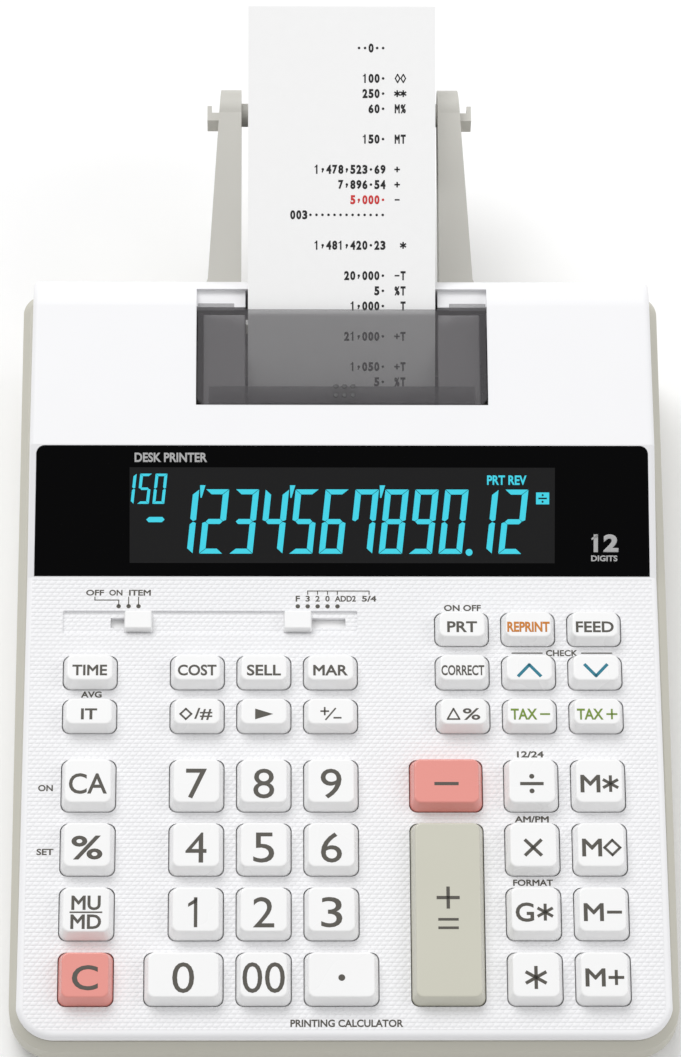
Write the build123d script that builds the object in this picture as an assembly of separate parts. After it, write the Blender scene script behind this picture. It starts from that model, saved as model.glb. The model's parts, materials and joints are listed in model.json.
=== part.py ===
"""Printing desk calculator: case, keys, switches, display, printer, paper and roll arms.

Millimetres and degrees. While it is being built the model has x = 0 in the middle of the case, y = 0 at the
front edge of the white top case (y grows to the back) and z = 0 on the table. write() then moves every piece so
that the origin is the bottom centre of the whole object's box.
"""
from build123d import *
import math
import os

# ------------------------------------------------------------------ driving dimensions: keyboard
KEY_PITCH = 20.0            # big keys, centre to centre, both ways
KEY_SIZE = 16.0             # big key, at the deck
SMALL_KEY_DEPTH = 10.5      # function keys are this deep and KEY_SIZE wide
SMALL_PITCH = 14.0          # function key rows, centre to centre
BLOCK_GAP = 8.75            # between the big keys and the function keys
LEFT_GAP = 12.2             # extra gap right of the first column
MIDDLE_GAP = 19.7           # extra gap between the digits and the right-hand block
SIDE_MARGIN = 12.3          # outer keys to the white case's side
FRONT_MARGIN = 9.5          # front row to the white case's front
SWITCH_MARGIN = 11.7        # top row to the fold under the display
ZERO_KEY_WIDTH = 23.0
POINT_KEY_WIDTH = 21.7
WIDE_KEY_WIDTH = 21.5       # minus and plus/equals keys
WIDE_KEY_SHIFT = 5.4        # wide keys stand this far left of the column above them
KEY_HEIGHT = 5.0            # above the deck
KEY_TAPER = 1.2             # each side of a cap leans in by this much
KEY_CORNER = 2.4
KEY_EDGE = 0.6
KEY_WALL = 1.4
KEY_TRAVEL = 2.5
KEY_CLEARANCE = 0.3         # cap to its well in the deck
KEY_SKIRT = 2.8             # cap below the deck, down to its retaining flange
FLANGE_WIDTH = 1.0          # flange beyond the cap
FLANGE_THICK = 1.0

# ------------------------------------------------------------------ driving dimensions: case
DECK_SLOPE = 8.0
DECK_FRONT_HEIGHT = 15.9    # deck's front edge above the table
DISPLAY_SLOPE = 32.0
DISPLAY_FACE = 40.5         # display bridge, along its slope
HOOD_SLOPE = 9.0
HOOD_LENGTH = 59.5          # top of the display bridge to the back wall, level
HOOD_REAR_RADIUS = 12.0
TOP_WALL = 2.5
BOTTOM_WALL = 3.4
FLOOR_THICK = 2.5
SEAM_DROP = 2.7             # parting line below the deck
LEDGE = 2.3                 # bottom case stands out beyond the top case by this much
SEAM_REVEAL = 0.4           # shadow groove at the parting line
REVEAL_DEPTH = 0.8
SIDE_LEAN = 2.0             # top case's sides lean in by this many degrees
FRONT_CORNER = 11.5
REAR_CORNER = 4.0
EDGE_ROUND = 1.8            # top case's upper edges
BOTTOM_ROUND = 4.0
FEET_HEIGHT = 2.0
FOOT_RADIUS = 6.0
FOOT_INSET = 14.0

# ------------------------------------------------------------------ driving dimensions: display
LENS_SIDE_MARGIN = 2.2      # white frame left and right of the lens
LENS_END_MARGIN = 0.5
LENS_THICK = 1.6
LENS_GAP = 0.15
LENS_CORNER = 2.6
VIEW_WIDTH = 129.0          # see-through part of the lens
VIEW_HEIGHT = 29.0
VIEW_OFFSET = -1.3          # view's middle below the middle of the display face
PANEL_THICK = 6.0
PANEL_MARGIN = 3.0

# ------------------------------------------------------------------ driving dimensions: printer and paper
PAPER_WIDTH = 57.5
PAPER_THICK = 0.2
PAPER_SLOPE = 30.4          # printed strip, above level
STRIP_LENGTH = 94.1         # from the cover's rear edge
COVER_SIDE = 15.4           # cover reaches this far beyond the paper on each side
COVER_FRONT = 13.3          # cover's front edge behind the top of the display bridge
COVER_LENGTH = 33.2
COVER_NOTCH = 1.9           # cover's rear edge is cut back here, between the ears
EAR_WIDTH = 11.2
COVER_THICK = 2.0
COVER_PROUD = 0.4
COVER_GAP = 0.35
COVER_CORNER = 2.5
PIN_RADIUS = 1.0
PIN_LENGTH = 3.0
PIN_CLEARANCE = 0.06
HINGE_DEPTH = 1.4           # hinge axis below the hood's surface
HINGE_FROM_REAR = 1.3       # hinge axis in front of the cover's rear edge
RECESS_LENGTH = 5.8         # paper exit and ear recess behind the cover
RECESS_DEPTH = 3.2
EXIT_SIDE = 0.8             # paper exit beyond the paper's edge
EXIT_DEPTH = 2.2            # strip below the hood's surface at the cover's rear edge
FEED_RADIUS = 8.0
FEED_DISTANCE = 22.0        # along the strip, from the cover's rear edge to the feed roller
RUNNING_GAP = 0.3           # between a turning piece and its neighbour
SHAFT_RADIUS = 2.5
SHAFT_CLEARANCE = 0.05
FRAME_THICK = 1.5           # printer side plates
FRAME_SIDE = 9.0            # side plates beyond the paper's edge
DRUM_RADIUS = 6.5
INK_RADIUS = 4.5
INK_LENGTH = 40.0
ROLL_RADIUS = 25.0
CORE_WALL = 1.6
PEG_RADIUS = 3.7
PEG_CLEARANCE = 0.08
PEG_LENGTH = 5.0
ARM_GAP = 2.25              # arms to the paper's edge
ARM_TIP_WIDTH = 6.2
ARM_BASE_WIDTH = 10.4
ARM_TIP_RADIUS = 8.0
ARM_REACH = 63.8            # bottom case's back wall to the roll's axis
ROLL_HEIGHT = 52.0          # roll's axis above the table
ARM_ROOT_HEIGHT = 18.0
ARM_ROOT_TOP = 44.0
INLET_HEIGHT = 8.0

# ------------------------------------------------------------------ driving dimensions: switches, board, battery
TRACK_DEPTH = 0.9
TRACK_HEIGHT = 7.4
TRACK_LENGTH = 89.0
TRACK_CENTRE = -40.0
KNOB_WIDTH = 8.7
KNOB_DEPTH = 6.4
KNOB_HEIGHT = 3.2
STEM_WIDTH = 4.0
STEM_DEPTH = 2.4
SWITCH_GAP = 0.4
MODE_STEP = 3.0             # between switch positions
ROUND_STEP = 3.0
MODE_KNOB = -61.7           # at ITEM, the rightmost of three positions
ROUND_KNOB = -13.5          # at F, the leftmost of five positions
MAT_THICK = 1.0
DOME_HEIGHT = 0.8
BOARD_THICK = 1.6
BOARD_MARGIN = 6.0
BATTERY_WIDTH = 64.0
BATTERY_LENGTH = 62.0
BATTERY_HEIGHT = 17.0
BATTERY_CENTRE = -42.0
BAY_WALL = 1.6
COVER_PLATE = 1.8
PLATE_GAP = 0.35
JACK_X = 72.0
JACK_RADIUS = 5.0
JACK_HOLE = 2.8
JACK_HEIGHT = 18.0

# ------------------------------------------------------------------ derived: columns and rows
COLUMN_SPAN = 6 * KEY_PITCH + LEFT_GAP + MIDDLE_GAP
COL_1 = -COLUMN_SPAN / 2
COL_2 = COL_1 + KEY_PITCH + LEFT_GAP
COL_3 = COL_2 + KEY_PITCH
COL_4 = COL_3 + KEY_PITCH
COL_5 = COL_4 + KEY_PITCH + MIDDLE_GAP
COL_6 = COL_5 + KEY_PITCH
COL_7 = COL_6 + KEY_PITCH
COL_WIDE = COL_5 - WIDE_KEY_SHIFT

ROW_1 = KEY_SIZE / 2 + FRONT_MARGIN
ROW_2 = ROW_1 + KEY_PITCH
ROW_3 = ROW_2 + KEY_PITCH
ROW_4 = ROW_3 + KEY_PITCH
ROW_5 = ROW_4 + KEY_SIZE / 2 + BLOCK_GAP + SMALL_KEY_DEPTH / 2
ROW_6 = ROW_5 + SMALL_PITCH
ROW_7 = ROW_6 + SMALL_PITCH
DECK_LENGTH = ROW_7 + SMALL_KEY_DEPTH / 2 + SWITCH_MARGIN
TRACK_ROW = ROW_7 + 2.5
PLUS_KEY_DEPTH = 2 * KEY_PITCH + KEY_SIZE

# ------------------------------------------------------------------ derived: case
HALF_TOP = COLUMN_SPAN / 2 + KEY_SIZE / 2 + SIDE_MARGIN
HALF_CASE = HALF_TOP + LEDGE


def rise(length, slope):
    """Level run and height of a length along a slope."""
    return length * math.cos(math.radians(slope)), length * math.sin(math.radians(slope))


FOLD_Y, FOLD_RISE = rise(DECK_LENGTH, DECK_SLOPE)
FOLD_Z = DECK_FRONT_HEIGHT + FOLD_RISE
RIDGE_RUN, RIDGE_RISE = rise(DISPLAY_FACE, DISPLAY_SLOPE)
RIDGE_Y = FOLD_Y + RIDGE_RUN
RIDGE_Z = FOLD_Z + RIDGE_RISE
BACK_Y = RIDGE_Y + HOOD_LENGTH
BACK_Z = RIDGE_Z + HOOD_LENGTH * math.tan(math.radians(HOOD_SLOPE))
CASE_BACK = BACK_Y + LEDGE


def sloped_plane(y, z, slope):
    """Plane through (0, y, z) that rises to the back: its x is x, its y runs up the slope."""
    angle = math.radians(slope)
    return Plane(origin=(0, y, z), x_dir=(1, 0, 0), z_dir=(0, -math.sin(angle), math.cos(angle)))


DECK = sloped_plane(0, DECK_FRONT_HEIGHT, DECK_SLOPE)
FACE = sloped_plane(FOLD_Y, FOLD_Z, DISPLAY_SLOPE)
HOOD = sloped_plane(RIDGE_Y, RIDGE_Z, HOOD_SLOPE)

# ------------------------------------------------------------------ derived: printer
COVER_HALF = PAPER_WIDTH / 2 + COVER_SIDE
COVER_REAR = COVER_FRONT + COVER_LENGTH
NOTCH_LINE = COVER_REAR - COVER_NOTCH
HINGE_LINE = COVER_REAR - HINGE_FROM_REAR
EXIT_HALF = PAPER_WIDTH / 2 + EXIT_SIDE
OPENING_HALF = COVER_HALF + COVER_GAP


def on_hood(along, above):
    """y and z of a point given along the hood's slope and above its surface."""
    point = HOOD.from_local_coords(Vector(0, along, above))
    return point.Y, point.Z


HINGE_Y, HINGE_Z = on_hood(HINGE_LINE, -HINGE_DEPTH)
EXIT_Y, EXIT_Z = on_hood(NOTCH_LINE, -EXIT_DEPTH)
STRIP_RUN, STRIP_RISE = rise(1.0, PAPER_SLOPE)
WRAP_RADIUS = FEED_RADIUS + RUNNING_GAP + PAPER_THICK / 2
FEED_Y = EXIT_Y - FEED_DISTANCE * STRIP_RUN + WRAP_RADIUS * STRIP_RISE
FEED_Z = EXIT_Z - FEED_DISTANCE * STRIP_RISE - WRAP_RADIUS * STRIP_RUN
DRUM_REACH = WRAP_RADIUS + PAPER_THICK / 2 + RUNNING_GAP + DRUM_RADIUS
DRUM_Y = FEED_Y - DRUM_REACH * math.cos(math.radians(30))
DRUM_Z = FEED_Z - DRUM_REACH * math.sin(math.radians(30))
INK_REACH = DRUM_RADIUS + RUNNING_GAP + INK_RADIUS
INK_Y = DRUM_Y - INK_REACH * math.sin(math.radians(10))
INK_Z = DRUM_Z + INK_REACH * math.cos(math.radians(10))
FRAME_HALF = PAPER_WIDTH / 2 + FRAME_SIDE
ROLL_Y = CASE_BACK + ARM_REACH
ROLL_WRAP = ROLL_RADIUS + RUNNING_GAP + PAPER_THICK / 2
ARM_INNER = PAPER_WIDTH / 2 + ARM_GAP
SPAN_Y = ROLL_Y - FEED_Y
SPAN_Z = ROLL_HEIGHT - FEED_Z
SPAN = math.hypot(SPAN_Y, SPAN_Z)
WEB_ANGLE = math.atan2(SPAN_Z, SPAN_Y) - math.asin((ROLL_WRAP - WRAP_RADIUS) / SPAN)

OBJECT_FRONT = -LEDGE
OBJECT_BACK = ROLL_Y + ROLL_RADIUS
ORIGIN_Y = (OBJECT_FRONT + OBJECT_BACK) / 2

# ------------------------------------------------------------------ small helpers


def block(x0, x1, y0, y1, z0, z1):
    """Box between two corners."""
    centre = ((x0 + x1) / 2, (y0 + y1) / 2, (z0 + z1) / 2)
    return Pos(*centre) * Box(x1 - x0, y1 - y0, z1 - z0)


def rod(x0, x1, y, z, radius):
    """Cylinder along X."""
    return Pos((x0 + x1) / 2, y, z) * Rot(0, 90, 0) * Cylinder(radius, x1 - x0)


def tube(x0, x1, y, z, radius, bore):
    """Hollow cylinder along X."""
    return rod(x0, x1, y, z, radius) - rod(x0 - 1, x1 + 1, y, z, bore)


def side_profile(points, x0, x1):
    """Solid with a (y, z) outline, between two x values."""
    face = make_face(Polyline(*points, close=True))
    return Pos(x0, 0, 0) * extrude(Plane.YZ * face, amount=x1 - x0)


def plan(inset, corner_front, corner_rear, half, front, back):
    """Case outline seen from above, inset from the outside, with its own front and rear corners."""
    left, right = -half + inset, half - inset
    near, far = front + inset, back - inset
    face = make_face(Polyline((left, near), (right, near), (right, far), (left, far), close=True))
    front_corners = face.vertices().filter_by(lambda v: v.Y < (near + far) / 2)
    face = fillet(front_corners, corner_front)
    rear_corners = face.vertices().filter_by(lambda v: v.Y > far - 0.01)
    return fillet(rear_corners, corner_rear)


def write(name, *solids):
    """Move a piece to the object's origin and write it as one node."""
    moved = [Pos(0, -ORIGIN_Y, 0) * solid for solid in solids]
    flat = []
    for item in moved:
        flat.extend(item.solids())
    export_step(Compound(children=flat) if len(flat) > 1 else flat[0], os.path.join("parts", name + ".step"))


# ------------------------------------------------------------------ keys


def key_table():
    """Every key: name, column x, row, width, depth."""
    keys = []

    def row(names, columns, place, width=KEY_SIZE, depth=KEY_SIZE):
        for name, column in zip(names, columns):
            keys.append((name, column, place, width, depth))

    small = dict(depth=SMALL_KEY_DEPTH)
    right = (COL_5, COL_6, COL_7)
    left = (COL_1, COL_2, COL_3, COL_4)
    digits = (COL_2, COL_3, COL_4)
    row(("print_on", "reprint", "feed"), right, ROW_7, **small)
    row(("time", "cost", "sell", "margin"), left, ROW_6, **small)
    row(("correct", "check_up", "check_down"), right, ROW_6, **small)
    row(("item_count", "non_add", "shift", "sign"), left, ROW_5, **small)
    row(("delta_percent", "tax_minus", "tax_plus"), right, ROW_5, **small)
    row(("clear_all", "7", "8", "9"), left, ROW_4)
    row(("divide", "memory_total"), right[1:], ROW_4)
    row(("percent", "4", "5", "6"), left, ROW_3)
    row(("multiply", "memory_subtotal"), right[1:], ROW_3)
    row(("markup", "1", "2", "3"), left, ROW_2)
    row(("grand_total", "memory_minus"), right[1:], ROW_2)
    row(("clear", "double_zero"), (COL_1, COL_3), ROW_1)
    row(("total", "memory_plus"), right[1:], ROW_1)
    zero_x = COL_2 + (KEY_SIZE - ZERO_KEY_WIDTH) / 2
    point_x = COL_4 - (KEY_SIZE - POINT_KEY_WIDTH) / 2
    row(("0",), (zero_x,), ROW_1, width=ZERO_KEY_WIDTH)
    row(("point",), (point_x,), ROW_1, width=POINT_KEY_WIDTH)
    row(("minus",), (COL_WIDE,), ROW_4, width=WIDE_KEY_WIDTH)
    row(("plus_equals",), (COL_WIDE,), ROW_2, width=WIDE_KEY_WIDTH, depth=PLUS_KEY_DEPTH)
    return keys


def tapered(width, depth, low, high, lean, corner):
    """Block with rounded corners that leans in from the deck up."""
    foot = Pos(0, 0, low) * RectangleRounded(width, depth, corner)
    head = Pos(0, 0, high) * RectangleRounded(width - 2 * lean, depth - 2 * lean, corner * 0.85)
    return loft([foot.face(), head.face()])


def key_cap(x, v, width, depth):
    """One hollow key with its skirt, retaining flange and plunger, in its place on the deck."""
    cap = tapered(width, depth, 0, KEY_HEIGHT, KEY_TAPER, KEY_CORNER)
    cap = fillet(cap.edges().group_by(Axis.Z)[-1], KEY_EDGE)
    skirt = extrude(RectangleRounded(width, depth, KEY_CORNER), amount=-KEY_SKIRT)
    flange_plan = RectangleRounded(width + 2 * FLANGE_WIDTH, depth + 2 * FLANGE_WIDTH, KEY_CORNER)
    flange = Pos(0, 0, -KEY_SKIRT) * extrude(flange_plan, amount=-FLANGE_THICK)
    key = cap + skirt + flange
    inner_w, inner_d = width - 2 * KEY_WALL, depth - 2 * KEY_WALL
    hollow = tapered(inner_w, inner_d, 0, KEY_HEIGHT - KEY_WALL, KEY_TAPER, KEY_CORNER / 2)
    bottom = -KEY_SKIRT - FLANGE_THICK
    hollow += extrude(RectangleRounded(inner_w, inner_d, KEY_CORNER / 2), amount=bottom)
    plunger = block(-2, 2, -1.5, 1.5, bottom, KEY_HEIGHT - KEY_WALL)
    key = key - hollow + plunger
    return DECK * Pos(x, v, 0) * key


def key_wells():
    """Holes in the deck for every key."""
    wells = None
    for name, x, v, width, depth in key_table():
        outline = RectangleRounded(width + 2 * KEY_CLEARANCE, depth + 2 * KEY_CLEARANCE, KEY_CORNER)
        well = Pos(x, v, -20) * extrude(outline, amount=30)
        wells = well if wells is None else wells + well
    return DECK * wells


# ------------------------------------------------------------------ switches


def knob(x):
    """Slide switch knob with a stem through the deck and a retaining plate."""
    top = extrude(RectangleRounded(KNOB_WIDTH, KNOB_DEPTH, 0.8), amount=KNOB_HEIGHT, taper=6)
    top = fillet(top.edges().group_by(Axis.Z)[-1], 0.5)
    top = Pos(0, 0, -TRACK_DEPTH + 0.1) * top
    stem_low = -TOP_WALL - 1.8
    stem = block(-STEM_WIDTH / 2, STEM_WIDTH / 2, -STEM_DEPTH / 2, STEM_DEPTH / 2, stem_low, 0)
    plate = block(-KNOB_WIDTH / 2, KNOB_WIDTH / 2, -KNOB_DEPTH / 2, KNOB_DEPTH / 2, stem_low, stem_low + 1)
    return DECK * Pos(x, TRACK_ROW, 0) * (top + stem + plate)


def switch_cuts():
    """Shallow track in the deck and one slot under each knob's run."""
    half = TRACK_LENGTH / 2
    outline = Pos(TRACK_CENTRE, TRACK_ROW, -TRACK_DEPTH) * RectangleRounded(2 * half, TRACK_HEIGHT, 0.6)
    cuts = extrude(outline, amount=TRACK_DEPTH + 1)
    reach = STEM_WIDTH / 2 + SWITCH_GAP
    wide = STEM_DEPTH / 2 + SWITCH_GAP
    runs = ((MODE_KNOB - 2 * MODE_STEP, MODE_KNOB), (ROUND_KNOB, ROUND_KNOB + 4 * ROUND_STEP))
    for start, end in runs:
        cuts += block(start - reach, end + reach, TRACK_ROW - wide, TRACK_ROW + wide, -5, 1)
    return DECK * cuts


# ------------------------------------------------------------------ case


def top_surface(inset):
    """Solid under the deck, display face and hood, as wide as needed, inset from the outside."""
    deep = -60
    points = [(-80, DECK_FRONT_HEIGHT - 80 * math.tan(math.radians(DECK_SLOPE))), (FOLD_Y, FOLD_Z),
              (RIDGE_Y, RIDGE_Z), (BACK_Y, BACK_Z), (BACK_Y, deep), (-80, deep)]
    face = make_face(Polyline(*points, close=True))
    rear = face.vertices().sort_by(lambda v: abs(v.X - BACK_Y) + abs(v.Y - BACK_Z))[0]
    face = fillet(rear, HOOD_REAR_RADIUS)
    if inset:
        face = offset(face, amount=-inset, kind=Kind.INTERSECTION)
    return extrude(Plane.YZ * face, amount=HALF_CASE + 20, both=True)


def leaning_sides(inset):
    """Prism as deep as the case whose sides lean in."""
    lean = math.tan(math.radians(SIDE_LEAN))
    low, high = -10.0, 90.0
    at_low = HALF_TOP - inset + lean * (DECK_FRONT_HEIGHT - low)
    at_high = HALF_TOP - inset + lean * (DECK_FRONT_HEIGHT - high)
    face = make_face(Polyline((-at_low, low), (at_low, low), (at_high, high), (-at_high, high), close=True))
    return Pos(0, -30, 0) * extrude(Plane.XZ * face, amount=-(CASE_BACK + 60))


def front_corners(inset):
    """Block with rounded front corners, open-ended at the back."""
    outline = plan(inset, FRONT_CORNER - inset, 1.0, HALF_TOP + 0.3, 0, CASE_BACK + 40)
    return Pos(0, 0, -10) * extrude(outline, amount=120)


def top_shape(inset):
    """Outer (inset 0) or inner form of the top case, down past the parting line."""
    return front_corners(inset) & top_surface(inset) & leaning_sides(inset)


def above_seam(shift=0.0):
    """Half-space above the parting line, as a big block."""
    return DECK * Pos(0, 0, -SEAM_DROP + shift) * block(-200, 200, -100, 400, 0, 200)


def lens_outline(grow):
    """Lens as seen square on to the display face; it narrows with the case's leaning sides."""
    lean = math.tan(math.radians(SIDE_LEAN)) * math.sin(math.radians(DISPLAY_SLOPE))
    base = HALF_TOP - LENS_SIDE_MARGIN - math.tan(math.radians(SIDE_LEAN)) * (FOLD_Z - DECK_FRONT_HEIGHT)
    low, high = LENS_END_MARGIN - grow, DISPLAY_FACE - LENS_END_MARGIN + grow
    wide, narrow = base - lean * low + grow, base - lean * high + grow
    face = make_face(Polyline((-wide, low), (wide, low), (narrow, high), (-narrow, high), close=True))
    upper = face.vertices().sort_by(Axis.Y)[-2:]
    return fillet(upper, LENS_CORNER)


def view_window(grow, low, high):
    """Block through the display face behind the see-through part of the lens."""
    middle = DISPLAY_FACE / 2 + VIEW_OFFSET
    half_w, half_h = VIEW_WIDTH / 2 + grow, VIEW_HEIGHT / 2 + grow
    return FACE * block(-half_w, half_w, middle - half_h, middle + half_h, low, high)


def hood_cuts():
    """Opening for the printer cover, paper exit and ear recess, with the hinge holes."""
    front = COVER_FRONT - COVER_GAP
    recess_end = COVER_REAR + RECESS_LENGTH
    opening = block(-OPENING_HALF, OPENING_HALF, front, COVER_REAR + COVER_GAP, -30, 10)
    paper_exit = block(-EXIT_HALF, EXIT_HALF, front, recess_end, -30, 10)
    recess = block(-OPENING_HALF, OPENING_HALF, front, recess_end, -RECESS_DEPTH, 10)
    cuts = HOOD * (opening + paper_exit + recess)
    hole_end = COVER_HALF + PIN_LENGTH + COVER_GAP
    return cuts + rod(-hole_end, hole_end, HINGE_Y, HINGE_Z, PIN_RADIUS + PIN_CLEARANCE)


def hinge_block():
    """Thicker stretch of the hood round the hinge holes and under the recess."""
    half = OPENING_HALF + PIN_LENGTH + 2
    end = COVER_REAR + RECESS_LENGTH + TOP_WALL
    stretch = HOOD * block(-half, half, HINGE_LINE - 4, end, -RECESS_DEPTH - TOP_WALL, -1)
    return stretch & top_shape(REVEAL_DEPTH)


def make_top_case():
    outer = top_shape(0) & above_seam()
    case = fillet(outer.edges().filter_by(on_crown), EDGE_ROUND)
    case = case - top_shape(TOP_WALL)
    case += hinge_block()
    case -= hood_cuts()
    case -= key_wells()
    case -= switch_cuts()
    case -= FACE * Pos(0, 0, -LENS_THICK) * extrude(lens_outline(LENS_GAP), amount=20)
    case -= view_window(0.5, -20, 5)
    reveal = above_seam() - above_seam(SEAM_REVEAL)
    core = top_shape(REVEAL_DEPTH)
    case -= reveal - core
    return case


def on_crown(edge):
    """True for an edge round the top case's upper outline, the rear wall's corners included."""
    box = edge.bounding_box()
    fold = box.size.Y < 0.5 and box.size.X > 10 and box.max.Y > 1.0
    front_corner = box.size.X < 0.6 and box.size.Y < 0.6 and box.max.Y < FRONT_CORNER + 2
    return not (fold or front_corner or on_seam(edge))


def case_plan(inset):
    """Bottom case outline seen from above."""
    return plan(inset, FRONT_CORNER + LEDGE - inset, REAR_CORNER + LEDGE - min(inset, 4.0),
                HALF_CASE, -LEDGE, CASE_BACK)


def battery_floor():
    """Recess in the floor for the sliding battery cover, open to the back."""
    half = BATTERY_WIDTH / 2 + PLATE_GAP + 2.0
    top = FEET_HEIGHT + COVER_PLATE + PLATE_GAP
    return block(BATTERY_CENTRE - half, BATTERY_CENTRE + half, bay_front() - 3, CASE_BACK + 5, 0, top)


def bay_front():
    """Front wall of the battery bay, inside."""
    return CASE_BACK - BOTTOM_WALL - BAY_WALL - BATTERY_LENGTH - 1


def battery_bay(grow, low, high):
    """Block the size of the batteries' space."""
    half = BATTERY_WIDTH / 2 - 2 + grow
    return block(BATTERY_CENTRE - half, BATTERY_CENTRE + half,
                 bay_front() - grow, bay_front() + BATTERY_LENGTH + grow, low, high)


def screw_posts():
    """Four hollow posts that carry the case screws."""
    posts = []
    for x in (-HALF_CASE + 10, HALF_CASE - 10):
        for y in (FOLD_Y - 4, BACK_Y - 10):
            top = DECK_FRONT_HEIGHT + (y - 6) * math.tan(math.radians(DECK_SLOPE)) - SEAM_DROP
            height = top - FEET_HEIGHT
            post = Pos(x, y, FEET_HEIGHT + height / 2) * Cylinder(4.0, height)
            bore = Pos(x, y, FEET_HEIGHT + height / 2) * Cylinder(1.6, height + 2)
            sink = Pos(x, y, FEET_HEIGHT + 1) * Cylinder(3.2, 6)
            posts.append((post, bore + sink))
    return posts


def make_bottom_case():
    tall = BACK_Z
    body = Pos(0, 0, FEET_HEIGHT) * extrude(case_plan(0), amount=tall)
    body = fillet(body.edges().group_by(Axis.Z)[0], BOTTOM_ROUND)
    body = body - above_seam()
    rim = body.edges().filter_by(lambda e: on_seam(e))
    body = chamfer(rim, LEDGE - 0.15)
    cavity = Pos(0, 0, FEET_HEIGHT + FLOOR_THICK) * extrude(case_plan(BOTTOM_WALL), amount=tall)
    body -= cavity
    for post, bore in screw_posts():
        body += post
        body -= bore
    bay_roof = FEET_HEIGHT + FLOOR_THICK + BATTERY_HEIGHT
    body += battery_bay(BAY_WALL, FEET_HEIGHT, bay_roof + BAY_WALL)
    body -= battery_bay(0, 0, bay_roof)
    body -= battery_floor()
    inlet = web_height(CASE_BACK)
    body -= block(-EXIT_HALF, EXIT_HALF, CASE_BACK - 12, CASE_BACK + 5,
                  inlet - INLET_HEIGHT / 2, inlet + INLET_HEIGHT / 2)
    body -= jack_bore(CASE_BACK - 10, CASE_BACK + 5, JACK_RADIUS + 0.1)
    return body


def on_seam(edge):
    """True for an edge that lies in the parting plane."""
    heights = [DECK.to_local_coords(edge @ t).Z for t in (0, 0.5, 1)]
    return all(abs(h + SEAM_DROP) < 0.01 for h in heights)


def web_height(y):
    """Height of the unprinted paper web at a given y, between the roll and the feed roller."""
    start_y = FEED_Y + WRAP_RADIUS * math.sin(WEB_ANGLE)
    start_z = FEED_Z - WRAP_RADIUS * math.cos(WEB_ANGLE)
    return start_z + (y - start_y) * math.tan(WEB_ANGLE)


def jack_bore(y0, y1, radius):
    """Cylinder along Y at the power jack."""
    return Pos(JACK_X, (y0 + y1) / 2, JACK_HEIGHT) * Rot(90, 0, 0) * Cylinder(radius, y1 - y0)


def make_battery_cover():
    half = BATTERY_WIDTH / 2 + 2.0
    start = bay_front() - 3 + PLATE_GAP
    end = CASE_BACK - BOTTOM_ROUND
    plate = block(BATTERY_CENTRE - half, BATTERY_CENTRE + half, start, end,
                  FEET_HEIGHT, FEET_HEIGHT + COVER_PLATE)
    for i in range(4):
        ridge_y = end - 8 - 3 * i
        plate -= block(BATTERY_CENTRE - 10, BATTERY_CENTRE + 10, ridge_y - 0.6, ridge_y + 0.6,
                       0, FEET_HEIGHT + 0.5)
    return plate


def make_feet():
    feet = []
    for x in (-HALF_CASE + FOOT_INSET, HALF_CASE - FOOT_INSET):
        for y in (FOOT_INSET - LEDGE, CASE_BACK - FOOT_INSET):
            foot = Pos(x, y, FEET_HEIGHT / 2) * Cylinder(FOOT_RADIUS, FEET_HEIGHT)
            feet.append(chamfer(foot.edges().group_by(Axis.Z)[0], 0.4))
    return feet


# ------------------------------------------------------------------ display


def make_lens():
    lens = FACE * Pos(0, 0, -LENS_THICK) * extrude(lens_outline(0), amount=LENS_THICK)
    return lens


def make_panel():
    panel = view_window(PANEL_MARGIN, -LENS_THICK - 1.2 - PANEL_THICK, -LENS_THICK - 1.2)
    step = view_window(0.2, -LENS_THICK - 1.2, -LENS_THICK - 0.1)
    return panel + step


# ------------------------------------------------------------------ key mat and boards


def mat_level():
    """Top of the mat's web, measured from the deck's surface."""
    return -KEY_SKIRT - FLANGE_THICK - KEY_TRAVEL - RUNNING_GAP - DOME_HEIGHT


def inner_half():
    """Half of the width that is free inside the case."""
    return HALF_CASE - BOTTOM_WALL - BOARD_MARGIN


def make_key_mat():
    top = mat_level()
    sheet = block(-inner_half(), inner_half(), ROW_1 - KEY_SIZE / 2, ROW_7 + SMALL_KEY_DEPTH / 2,
                  top - MAT_THICK, top)
    for name, x, v, width, depth in key_table():
        dome = Pos(x, v, top + DOME_HEIGHT / 2) * Cone(3.6, 2.6, DOME_HEIGHT)
        sheet += dome
    return DECK * sheet


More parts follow.
